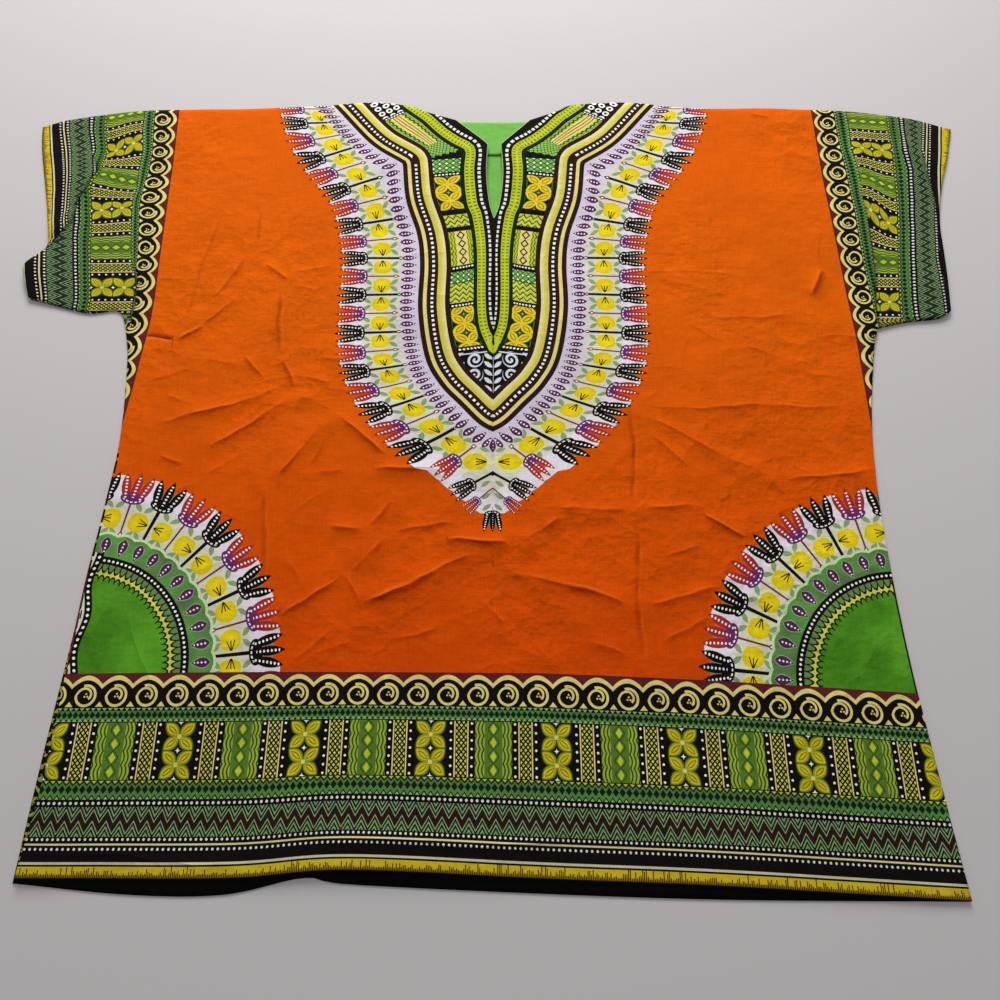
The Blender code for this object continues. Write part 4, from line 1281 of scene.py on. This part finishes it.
def block_band(colour, along, away):
    """Band of blocks: four-petalled flowers, and lozenges in waves, parted by dots and lattices."""
    u = compute("WRAP", along + 15.0, 2.0 * HALF_BLOCK, 0.0)
    y = away - 66.0
    band = within(away, *BLOCK_BAND)
    # Flower block: two flowers, each of four leaf-shaped petals round a bead, and pale stars between them.
    fx, fy = u - 15.0, repeat(y - 11.6, 23.2)
    px, py = turned(absolute(fx) - 6.6, absolute(fy) - 5.6, 40.0)
    colour = lay(
        paint(colour, band, INK),
        (lens(px, py, 9.4, 5.9), linear(66, 80, 16)),
        (lens(px, py, 8.3, 4.9), linear(142, 146, 34)),
        (lens(px - 0.6, py, 7.0, 3.6), linear(196, 180, 34)),
        (lens(px, py, 5.6, 1.9) & ~lens(px, py, 4.8, 1.1), linear(96, 84, 14)),
        (length(fx, fy) < 1.9, CREAM),
        (star(fx, repeat(y, 23.2)) < 1.75, WHITE),
        inside=(absolute(fx) < 15.0) & band)
    # Lozenge block: small lozenges between two crossing waves, and wavy lines beside them.
    lx = absolute(u - 71.4)
    lozenges = (lx < 16.6) & band
    swing = absolute(sine(y, 23.0))
    wave = absolute(repeat(lx - swing * 1.7 - 13.6, 3.3))
    colour = lay(
        paint(colour, lozenges, linear(84, 112, 38)),
        ((wave < 0.85) & (lx > 8.0), linear(152, 168, 54)),
        ((wave > 1.1) & (lx > 8.2), GREEN_DARK),
        (absolute(lx - swing * 4.6) < 0.55, GREEN_DARK),
        (lozenge(lx, repeat(y - 5.75, 11.5), 2.9, 4.4) < 1.0, LIME),
        inside=lozenges)
    # Lattice columns, each between two pale lines, and columns of dots beside them.
    tx = compute("MINIMUM", absolute(u - 42.5), absolute(u - 100.2))
    net = lozenge(repeat(tx, 4.2), repeat(y, 5.0), 2.1, 2.5)
    colour = lay(
        colour,
        (net < 0.6, CREAM),
        (net > 1.42, LIME),
        (tx > 4.6, INK),
        (absolute(tx - 5.9) < 0.6, CREAM),
        inside=(tx < 6.6) & band)
    return paint(colour, (length(tx - 9.4, repeat(y, 7.2)) < 1.05) & band, WHITE)


def selvedge_ticks(finish, along, away):
    """Thin dark strokes of uneven length that stand on the selvedge's outer edge."""
    cell = compute("FLOOR", along / 1.5)
    chance = finish.tree.nodes.new("ShaderNodeTexWhiteNoise")
    chance.noise_dimensions = "1D"
    feed(finish.tree, cell, chance.inputs["W"])
    tall = Value(finish.tree, chance.outputs["Value"])
    tall = tall * tall * (ramp(finish.noise(26.0, 1.0, 1.0), 0.36, 0.62) * 4.5 + 4.4) + 1.4
    stroke = absolute(repeat(along - 0.75, 1.5)) < 0.45
    return (away > 164.4 - tall) & stroke | (away > 164.8)


def border_cloth():
    """Sleeve and hem border, drawn in millimetres along and away from the line where the field ends."""
    finish = Finish("border_cloth")
    along, away = finish.border_map()
    past_one, past_two, _ = finish.attribute("tuck")
    hidden_one, hidden_two, block_along = finish.attribute("hidden")
    sleeve = absolute(past_one - NO_TUCK) > 0.01
    away = away + (past_one > 0.0) * hidden_one + (past_two > 0.0) * hidden_two
    along = along + (away > 41.5) * sleeve * (block_along - along)
    # Curls under a cream line of arches.
    cell, rise = repeat(along + 6.8, CURL), away - 19.4
    arch = away - 4.0 - cell * cell * 0.040
    radius, angle = length(cell, rise), compute("ARCTAN2", rise, cell)
    inward = radius - 8.7 + compute("POWER", (angle + math.pi) / 4.0, 0.62) * 4.6
    seeds = length(absolute(cell - 0.5) - 1.3, rise - 0.9) < 0.85
    seeds = seeds | (length(cell - 0.5, rise + 1.4) < 0.85)
    foot = (13.7 - absolute(cell)) < (away - 24.6) * 0.8
    curl = (absolute(radius - 8.7) < 1.15) & (angle > -1.9) | (absolute(inward) < 1.0) & (angle < 0.8)
    colour = lay(
        INK,
        ((away < 13.0) & (arch < 0.0), linear(88, 32, 34)),
        ((away < 14.0) & (absolute(arch) < 2.0), CREAM),
        (curl | seeds | foot & (away < 29.0), CREAM))
    # Green band of dark lozenges between rows of small pale triangles.
    tooth = zigzag(along, 5.0)
    gem = lozenge(repeat(along, 5.0), repeat(away - 36.2, 7.4), 2.5, 3.3)
    green = within(away, *LOZENGE_BAND)
    colour = lay(
        colour,
        (green, border_green(finish, away, 30.0, 42.0)),
        (within(away, 30.2, 32.4) & (32.6 - away > tooth * 1.15), MESH_GREEN),
        (within(away, 39.2, 41.6) & (away - 39.2 > tooth * 1.15), MESH_GREEN),
        (green & (gem < 1.0), GREEN_BLACK))
    colour = block_band(colour, along, away)
    # Green band of small dark lozenges between rows of triangles.
    start, end = SMALL_LOZENGE_BAND
    tooth = zigzag(along, 5.9)
    colour = lay(
        paint(colour, within(away, start, end), border_green(finish, away, 90.0, end)),
        ((away < 94.2) & (absolute(away - 90.6 - tooth * 1.1) < 0.8), INK),
        ((away < 92.4) & (away - start < tooth - 1.0), LIME),
        (lozenge(repeat(along, 5.9), away - 97.2, 2.8, 3.7) < 1.0, GREEN_BLACK),
        ((away > 101.0) & (end - away < tooth * 1.35), INK),
        ((away > 102.6) & (end - away < tooth * 1.35 - 1.6), MESH_GREEN),
        inside=within(away, start, end))
    # Zigzags with pale lines nested in the green on both sides.
    size = absolute(away - 122.4 + (zigzag(along, 11.6) - 2.9) * 1.7)
    nested = repeat(size - 4.8, 4.8)
    zigzags = within(away, *ZIGZAG_BAND)
    colour = lay(
        paint(colour, zigzags, border_green(finish, away, 108.0, 136.0)),
        (size < 3.6, paint(BROWN_BLACK, sleeve * 0.8, linear(30, 48, 32))),
        ((size > 3.6) & within(nested, -0.7, 0.4), linear(146, 166, 124)),
        ((size > 3.6) & (within(nested, 0.4, 2.4) | (nested < -2.0)), INK),
        inside=zigzags)
    # Rows of dots, a cream and a pale line, then the yellow selvedge.
    dots = length(repeat(along, 4.7), away - 108.0) < 1.2
    for step, row in ((4.5, 136.0), (4.7, 143.4)):
        dots = dots | (length(repeat(along, step), away - row) < 1.05)
    colour = lay(
        colour,
        (within(away, 139.1, 140.5), linear(206, 196, 138)),
        (dots, linear(214, 210, 200)),
        (within(away, 153.1, 155.0), linear(196, 190, 160)),
        (away > SELVEDGE, linear(198, 172, 34)),
        ((away > SELVEDGE) & selvedge_ticks(finish, along, away), linear(72, 34, 14)))
    # Painted shadow: a dark line along each tuck, where one layer of the border lies over the other.
    for past, hidden in ((past_one, hidden_one), (past_two, hidden_two)):
        colour = paint(colour, falling(past, 0.55) * ramp(hidden, 1.0, 9.0) * 0.8, linear(8, 9, 8))
    return finish.close(colour, 0.8)


def yoke_blocks(colour, panel, row, wide):
    """Blocks of the yoke's panels, in an order of their own."""
    side = absolute(wide)

    def block(start, end):
        return panel & within(row, start, end)

    # Flange: a corner of rings, stripes between wavy edges, and a speckled corner.
    rings = length(repeat(wide, 9.0), repeat(row, 9.0))
    colour = paint(colour, panel & (row < -64.0) & within(rings, 1.6, 3.6), WHITE)
    stripes, speckle = block(-60.0, 0.0), block(0.0, 29.0)
    colour = lay(
        paint(colour, stripes, CREAM),
        ((absolute(repeat(wide, 3.4)) < 0.55) & (side < 5.6), linear(120, 70, 24)),
        (side > 6.2, LIME),
        (absolute(side - 8.6 - sine(row, 6.4) * 0.8) < 1.1, GREEN_DARK),
        (absolute(side - 10.9) < 0.7, GREEN_GREY),
        inside=stripes)
    grain = lozenge(repeat(wide, 4.6), repeat(row, 5.2), 2.3, 2.6)
    colour = lay(colour, (speckle, linear(138, 182, 84)), (speckle & within(grain, 0.8, 1.2), GREEN_DARK))
    # Lattice of triangles.
    lattice = block(82.0, 101.0) | block(236.0, 250.0)
    net = lozenge(repeat(wide, 6.0), repeat(row - 82.0, 6.4), 3.0, 3.2)
    colour = lay(
        paint(colour, lattice, GREEN_FRESH),
        (within(net, 0.78, 1.12), GREEN_BLACK),
        (net < 0.42, WHITE),
        inside=lattice)
    # Flowers of four petals, with stars between them.
    flower = block(107.0, 153.0) | block(282.0, 330.0)
    px, py = turned(side - 5.8, absolute(repeat(row - 118.5, 23.0)) - 5.7, 42.0)
    colour = lay(
        paint(colour, flower, LIME_DARK),
        (side < 11.6, INK),
        (lens(px, py, 9.4, 5.9), GREEN_DARK),
        (lens(px, py, 8.3, 4.8), linear(216, 194, 40)),
        (lens(px, py, 5.8, 2.4) & ~lens(px, py, 4.8, 1.4), linear(150, 84, 16)),
        (star(side, repeat(row - 130.0, 23.0)) < 1.9, linear(150, 140, 104)),
        inside=flower)
    # Zigzags of lime and green.
    chevron = block(160.0, 176.0) | block(251.0, 276.0)
    line = compute("FRACT", (row - zigzag(wide, 7.6) * 1.25) / 6.4)
    colour = lay(
        paint(colour, chevron, LIME),
        (line < 0.30, GREEN_DARK),
        (within(line, 0.44, 0.62), CREAM),
        inside=chevron)
    # Lozenge chain between waves.
    chain = block(182.0, 228.0)
    nest = lozenge(wide, repeat(row - 187.7, 11.5), 4.6, 5.75)
    swing = repeat(side - 9.4 - absolute(sine(row, 15.4)) * 1.6, 2.9)
    colour = lay(
        paint(colour, chain, CREAM),
        (within(nest, 0.62, 1.04), INK),
        (side > 6.6, LIME),
        ((absolute(swing) < 0.65) & (side > 6.4), LIME_DARK),
        inside=chain)
    # Dotted bars.
    for start in YOKE_BARS:
        bar = block(start, start + BAR)
        dots = length(repeat(wide, 3.4), row - start - 0.5 * BAR) < 1.1
        colour = lay(colour, (bar, INK), (bar & dots, WHITE))
    return colour


def yoke_print(colour, out, inner, outer_along, inner_along, across, row, half):
    """Bands of the yoke: out is millimetres in from its outline, inner is those out from its inner line."""
    dots = (absolute(repeat(outer_along, 5.9)) < 1.45) & (absolute(out - 15.2) < 1.45)
    panel = (out > OUTER_BANDS * MM) & (inner > INNER_BANDS * MM)
    colour = lay(
        colour,
        (out > 0.0, BROWN_BLACK),
        (within(out, 5.3, 9.3), CREAM),
        (dots & (out > 0.0), WHITE),
        (within(out, 20.4, 29.4), paint(linear(197, 185, 68), ramp(out, 23.0, 29.5), linear(220, 212, 152))),
        (panel, INK))
    colour = yoke_blocks(colour, panel & (row < 335.0), row, (across - 0.5) * 25.0)
    # Pointed panel at the bottom: pale curls and leaves on black.
    cy, cx = repeat(row - 346.0, 17.0), half - 18.6
    radius = length(cx, cy)
    turn = compute("FRACT", radius / 5.4 - compute("ARCTAN2", cy, cx) / (2.0 * math.pi))
    outer_x, outer_y = turned(half - 33.6, repeat(row - 353.0, 17.0), 58.0)
    vine_x, vine_y = turned(half - 5.2, repeat(row - 344.0, 8.6), -42.0)
    pale = (turn < 0.5) & (radius < 8.6) | lens(outer_x, outer_y, 6.4, 2.6)
    pale = pale | lens(vine_x, vine_y, 5.4, 2.1) | (half < 0.7) | (absolute(row - 338.8) < 0.7)
    colour = paint(colour, panel & (row > 337.0) & pale, linear(206, 208, 214))
    # Inner bands.
    lime, middle = within(inner, 0.0, 11.6), absolute(inner - 5.8)
    ticks = (absolute(repeat(inner_along, 4.4)) < 0.8) & (absolute(middle - 2.9) < 1.7)
    narrow = ramp(row, 120.0, 200.0) * 0.5
    squares = (absolute(repeat(inner_along, 6.3)) < 1.95) & (absolute(inner + 5.6) < 1.8 - narrow)
    return lay(
        colour,
        (lime, LIME),
        (lime * ramp(middle, 3.0, 5.8), linear(168, 178, 30)),
        (ticks & (inner_along < INNER_LENGTH * MM - 1.0), LIME_DARK),
        (within(inner, 11.6, INNER_BANDS * MM), GREEN_BLACK),
        (inner < 0.0, INK),
        (squares, linear(218, 220, 208)))


def neck_cloth():
    """Yoke with its ring of drops and flowers. The last drop stands by itself on the middle line."""
    finish = Finish("neck_cloth")
    out, inner, outer_along = finish.attribute("yoke")
    stem, away, inner_along = finish.attribute("ring")
    across, row, half = finish.attribute("panel")
    ring = place_group(finish.tree, "flower_ring", Stem=stem, Away=away, Outside=field_colour(finish))
    ground = paint(ring["Flowers"], stem > 20.05, ring["Ground"])
    pendant = place_group(finish.tree, "pendant", Half=half, Row=row, Ground=ground,
                          Outside=field_colour(finish))
    colour = paint(ring["Colour"], (stem > 19.5) & (away > 19.0), pendant["Colour"])
    drops = place_group(finish.tree, "drop_row", Count=stem * 2.5 + 0.5, Away=-out - 11.6, Pitch=9.4,
                        Stout=3.2, Colour=colour, Edge=DROP_EDGE)
    colour = paint(drops["Colour"], stem > 20.42, colour)
    lowest = place_group(finish.tree, "drop_row", Count=half * 0.1, Away=row - 442.6, Pitch=10.0,
                         Stout=3.2, Colour=colour, Edge=DROP_EDGE)
    colour = paint(colour, (half < 4.5) & within(row, 433.0, 452.0), lowest["Colour"])
    colour = yoke_print(colour, out, inner, outer_along, inner_along, across, row, half)
    # Pale line along the neck's and the slit's edges: the cloth's turned edge, made lighter by painted
    # highlight.
    _, _, edge = finish.attribute("crease")
    return finish.close(paint(colour, edge < 0.8, linear(168, 180, 132)), 0.7)


def corner_cloth():
    """Corner rosette: plain green heart, scalloped and dotted rings, drops, and the ring of flowers."""
    finish = Finish("corner_cloth")
    angle, away, radius = finish.attribute("ring")
    ring = place_group(finish.tree, "flower_ring", Stem=angle / CORNER_STEM + 0.43, Away=away + 5.0,
                       Outside=field_colour(finish))
    lobe = radius - 128.6 - absolute(sine(angle, 2.0 * CORNER_DROP)) * 2.4
    cloud = finish.noise(40.0, 40.0, 2.0)
    green = paint(linear(84, 108, 66), ramp(cloud, 0.35, 0.65), linear(92, 148, 66))
    colour = lay(ring["Colour"], (lobe < 2.6, linear(190, 214, 160)), (lobe < 0.0, green))
    drops = place_group(finish.tree, "drop_row", Count=angle / CORNER_DROP + 0.5, Away=radius - 119.4,
                        Pitch=16.2, Stout=4.2, Colour=colour, Edge=linear(142, 168, 132))
    bead = repeat(angle / CORNER_BEAD, 1.0) * 4.4
    # Scallops that hang from the dotted ring, a pale wavy line, and smaller scallops against the heart.
    loop = repeat(angle / CORNER_SCALLOP, 1.0) * 6.3
    outer, inner = oval(loop, radius - 101.4, 3.1, 7.6), oval(loop, radius - 85.6, 3.1, 4.8)
    mottle = cloud * 0.3 + finish.noise(13.0, 11.0, 3.0) * 0.7
    heart = paint(linear(64, 120, 24), ramp(mottle, 0.38, 0.62), linear(88, 152, 36))
    colour = lay(
        drops["Colour"],
        (radius < 110.6, green),
        (radius < 108.8, INK),
        (length(bead, radius - 105.0) < 1.2, WHITE),
        (radius < 101.4, linear(200, 196, 84)),
        ((radius < 101.4) & (outer < 1.0), linear(98, 128, 72)),
        ((radius < 101.4) & (absolute(outer - 1.0) < 0.16), GREEN_BLACK),
        ((radius < 92.0) & (inner < 1.0) | (radius < 85.6), heart),
        (within(radius, 85.0, 92.0) & (absolute(inner - 1.0) < 0.2), GREEN_BLACK))
    # Painted shadow as a dark line along the right side's edge, then the dotted band that wanders down the
    # left side line.
    from_side, _, _ = finish.attribute("panel")
    along, beside = finish.border_map()
    across = finish.place(0)
    right, left = across > 0.0, across < 0.0
    band = -beside - 5.2 - sine(along, 62.0, 2.0) * 2.6
    colour = paint(colour, (radius < 101.0) & (from_side < 1.7) & right, GREEN_BLACK)
    colour = lay(
        colour,
        (band < 3.6, INK),
        (length(repeat(along, 5.6), band) < 1.4, WHITE),
        (band < -3.6, linear(212, 206, 186)),
        ((absolute(repeat(along, 15.0)) < 4.0) & (absolute(band + 6.2) < 0.7), BROWN_INK),
        inside=left & (radius < 112.0))
    # Painted shadow along the left side's edge, where the side seam lies, broken here and there.
    side_shadow = (from_side < 2.1) & (absolute(repeat(along, 17.0)) > 1.8)
    return finish.close(paint(colour, left & side_shadow, INK), 1.0)


def back_inside_cloth():
    """Inside of the back: plain green at the neck, speckled at the sides, and near black past the hem as
    painted shadow.
    """
    finish = Finish("back_inside_cloth")
    _, away = finish.border_map()
    speck = (finish.noise(170.0, 230.0, 1.0) > 0.48) | (absolute(repeat(away, 9.0)) < 1.4)
    colour = lay(
        GREEN_NECK,
        ((away > 8.0) | (finish.place(1) < 0.05), paint(linear(150, 146, 62), speck, INK)),
        # Painted shadow: near black along the border's outer edge, where the back shows past the front.
        (away > 150.0, linear(10, 9, 9)))
    return finish.close(colour, 0.4, creased=False)


# ---------------------------------------------------------------- pieces
PRINTS = ("field", "border", "neck", "corner")      # a panel's finishes, in the order of its slots


def zones(points, quads, hem):
    """Each face's place in PRINTS, and the border's along and away at its corners."""
    corners = points[quads]
    across, down = corners.mean(axis=1).T
    below = down > read(hem_line, across, 0)
    line = np.where(across < 0.0, -read(side_left, down, 1), read(side_right, down, 1))
    beside = (np.abs(across) > line) & ~below
    out = neck_coordinates(across, down)["out"]
    radius = corner_coordinates(across, down)[2]
    zone = np.where(out > -NECK_REACH * MM, PRINTS.index("neck"), PRINTS.index("field"))
    zone = np.where(radius < CORNER_REACH * MM, PRINTS.index("corner"), zone)
    zone = np.where(below | beside, PRINTS.index("border"), zone)
    hem_along, hem_away = hem_border(corners[..., 0], corners[..., 1], hem)
    sleeve = sleeve_border(corners[..., 0], corners[..., 1])
    along = np.where(below[:, None], hem_along * MM, sleeve["along"])
    away = np.where(below[:, None], hem_away * MM, sleeve["away"])
    return zone, along, away


def add_print(piece, points, quads, hem, slots):
    """Give a panel its regions, the coordinates that they read, and their materials."""
    mesh = piece.data
    across, down = points[:, 0], points[:, 1]
    neck = neck_coordinates(across, down)
    corner_away, angle, radius = corner_coordinates(across, down)
    at_corner = radius < 1.02 * CORNER_REACH * MM
    keep_vectors(mesh, "yoke", neck["out"], neck["inner"], neck["outer_along"])
    keep_vectors(mesh, "ring", *(np.where(at_corner, ours, theirs) for ours, theirs in (
        (angle, neck["stem"]), (corner_away, neck["away"]), (radius, neck["inner_along"]))))
    from_side = np.where(across < 0.0, across - read(smooth(FRONT_SIDE_LEFT), down, 1),
                         read(smooth(SIDE_RIGHT), down, 1) - across) * MM
    keep_vectors(mesh, "panel", np.where(at_corner, from_side, neck["across"]), neck["row"], neck["half"])
    beside, height = crease_coordinates(across, down)
    keep_vectors(mesh, "crease", beside, height, neckline_distance(across, down))
    below = down > read(hem_line, across, 0) - 0.002
    sleeve = sleeve_border(across, down)
    past = (np.where(below, NO_TUCK, sleeve[name]) for name in ("past_one", "past_two"))
    keep_vectors(mesh, "tuck", *past)
    hidden = (np.where(below, 0.0, sleeve[name]) for name in ("hidden_one", "hidden_two"))
    keep_vectors(mesh, "hidden", *hidden, sleeve["block_along"])
    zone, along, away = zones(points, quads, hem)
    if len(slots) > len(PRINTS):
        # The print comes over the shoulders' fold, up to where the front lies on it.
        centre_across, centre_down = points[quads].mean(axis=1).T
        near_fold = centre_down - read(shoulder, centre_across, 0) < FOLD_SHOWN
        beside_neck = np.abs(centre_across - FACING_MIDDLE) > FACING_HALF
        zone = np.where(near_fold & beside_neck, zone + len(PRINTS), zone)
    keep_corners(mesh, "border", along, away)
    for material in slots:
        mesh.materials.append(material)
    mesh.polygons.foreach_set("material_index", zone.astype(np.int32))


def build_front():
    """Front panel with its half sleeves, V neck and slit."""
    cut = Cut(FRONT_HEM, FRONT_SIDE_LEFT, FRONT_STEP, True)
    points, quads = join(cut.patches())
    piece = sheet_mesh("front_panel", points, quads, front_height(*points.T), SHEET)
    add_print(piece, points, quads, cut.hem, prints)
    return piece


def build_back():
    """Back panel: its inside faces up, and its print lies on what the shirt lies on.

    The slots are the inside once for each print, then the prints twice, so that the lining's shift by the
    number of prints also holds for the faces that show the print on top.
    """
    cut = Cut(BACK_HEM, BACK_SIDE_LEFT, BACK_STEP, False)
    points, quads = join(cut.patches())
    height = np.full(len(points), BACK_TOP)
    piece = sheet_mesh("back_panel", points, quads, height, BACK_SHEET, len(PRINTS))
    add_print(piece, points, quads, cut.hem, (finishes["inside_back"],) * len(PRINTS) + prints * 2)
    return piece


def build_facing():
    """Back neck facing: rows run from just inside the neckline to the rounded lower edge."""
    top = np.vstack((smooth(SHOULDER_LEFT), np.array(BACK_NECK[1:-1]), smooth(SHOULDER_RIGHT)))
    lower = smooth(FACING_LOWER)
    across = np.linspace(*FACING_SPAN, steps(FACING_SPAN[1] - FACING_SPAN[0], FACING_STEP) + 1)
    share = np.linspace(0.0, 1.0, FACING_ROWS)[:, None]
    high = read(top, across, 0) + 0.0012
    low = np.maximum(read(lower, across, 0), high + 0.0005)
    down = high + (low - high) * share
    points, quads = join([np.stack((np.broadcast_to(across, down.shape), down), axis=-1)])
    height = np.full(len(points), FACING_TOP)
    piece = sheet_mesh("back_neck_facing_cloth", points, quads, height, FACING_SHEET)
    keep_corners(piece.data, "border", np.zeros(quads.shape), np.zeros(quads.shape))
    piece.data.materials.append(finishes["inside"])
    return piece


# ---------------------------------------------------------------- stage
FLOOR_HALF = 4.0


def build_floor():
    """Plain pale floor."""
    mesh = bpy.data.meshes.new("floor")
    corners = [(x * FLOOR_HALF, y * FLOOR_HALF, 0.0) for x, y in ((-1, -1), (1, -1), (1, 1), (-1, 1))]
    mesh.from_pydata(corners, [], [(0, 1, 2, 3)])
    material = bpy.data.materials.new("floor_pale")
    material.use_nodes = True
    shader = material.node_tree.nodes["Principled BSDF"]
    shader.inputs["Base Color"].default_value = linear(194, 187, 186)
    shader.inputs["Roughness"].default_value = 0.95
    mesh.materials.append(material)
    floor = add_object("floor", mesh)


def add_light(name, place, size, power, target=(0.0, 0.0, 0.0)):
    """Square area light that looks at a target."""
    data = bpy.data.lights.new(name, "AREA")
    data.size, data.energy = size, power
    light = add_object(name, data)
    light.location = place
    offset = np.array(target) - np.array(place)
    light.rotation_euler = (math.atan2(math.hypot(offset[0], offset[1]), -offset[2]), 0.0,
                            math.atan2(offset[1], offset[0]) - math.pi / 2.0)


def build_lights():
    """Soft window light from beyond the neck, a wide fill above, and a pale world."""
    add_light("window", (-0.14, 1.85, 1.20), 1.1, 53.0)
    add_light("ceiling", (0.1, 0.3, 2.4), 2.6, 10.5)
    world = bpy.data.worlds.new("room")
    world.use_nodes = True
    world.node_tree.nodes["Background"].inputs[0].default_value = (0.92, 0.94, 1.0, 1.0)
    world.node_tree.nodes["Background"].inputs[1].default_value = 0.29
    bpy.context.scene.world = world
    bpy.context.scene.view_settings.view_transform = "Standard"


# The camera stands at the hem's side and looks down on the shirt.
CAMERA_HEIGHT = 0.666
CAMERA_TILT = math.radians(18.95)      # from straight down, towards the neck
CAMERA_LENS = 25.656
CAMERA_PLACE = (0.0040, HALF_LENGTH - 0.7310, CAMERA_HEIGHT)


def build_camera():
    """Camera above the lower part of the shirt."""
    data = bpy.data.cameras.new("camera")
    data.lens, data.sensor_width = CAMERA_LENS, 36.0
    camera = add_object("camera", data)
    camera.location = CAMERA_PLACE
    camera.rotation_euler = (CAMERA_TILT, 0.0, 0.0)
    bpy.context.scene.camera = camera


groups = {"cloth_finish": build_cloth_finish(), "drop_row": build_drop_row(), "tulip": build_tulip()}
groups["flower_ring"] = build_flower_ring()
groups["pendant"] = build_pendant()
finishes = {"field": field_cloth(), "border": border_cloth(), "neck": neck_cloth(), "corner": corner_cloth(),
            "inside": inside_cloth(), "inside_back": back_inside_cloth()}
prints = tuple(finishes[name] for name in PRINTS)

build_camera()
build_lights()
build_floor()
front = build_front()
back = build_back()
facing = build_facing()

for piece, node, slot in ((front, "front", "front_cloth"), (back, "back", "back_cloth"),
                          (facing, "back_neck_facing", "facing_cloth")):
    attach(piece, "root")
    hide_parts(node)
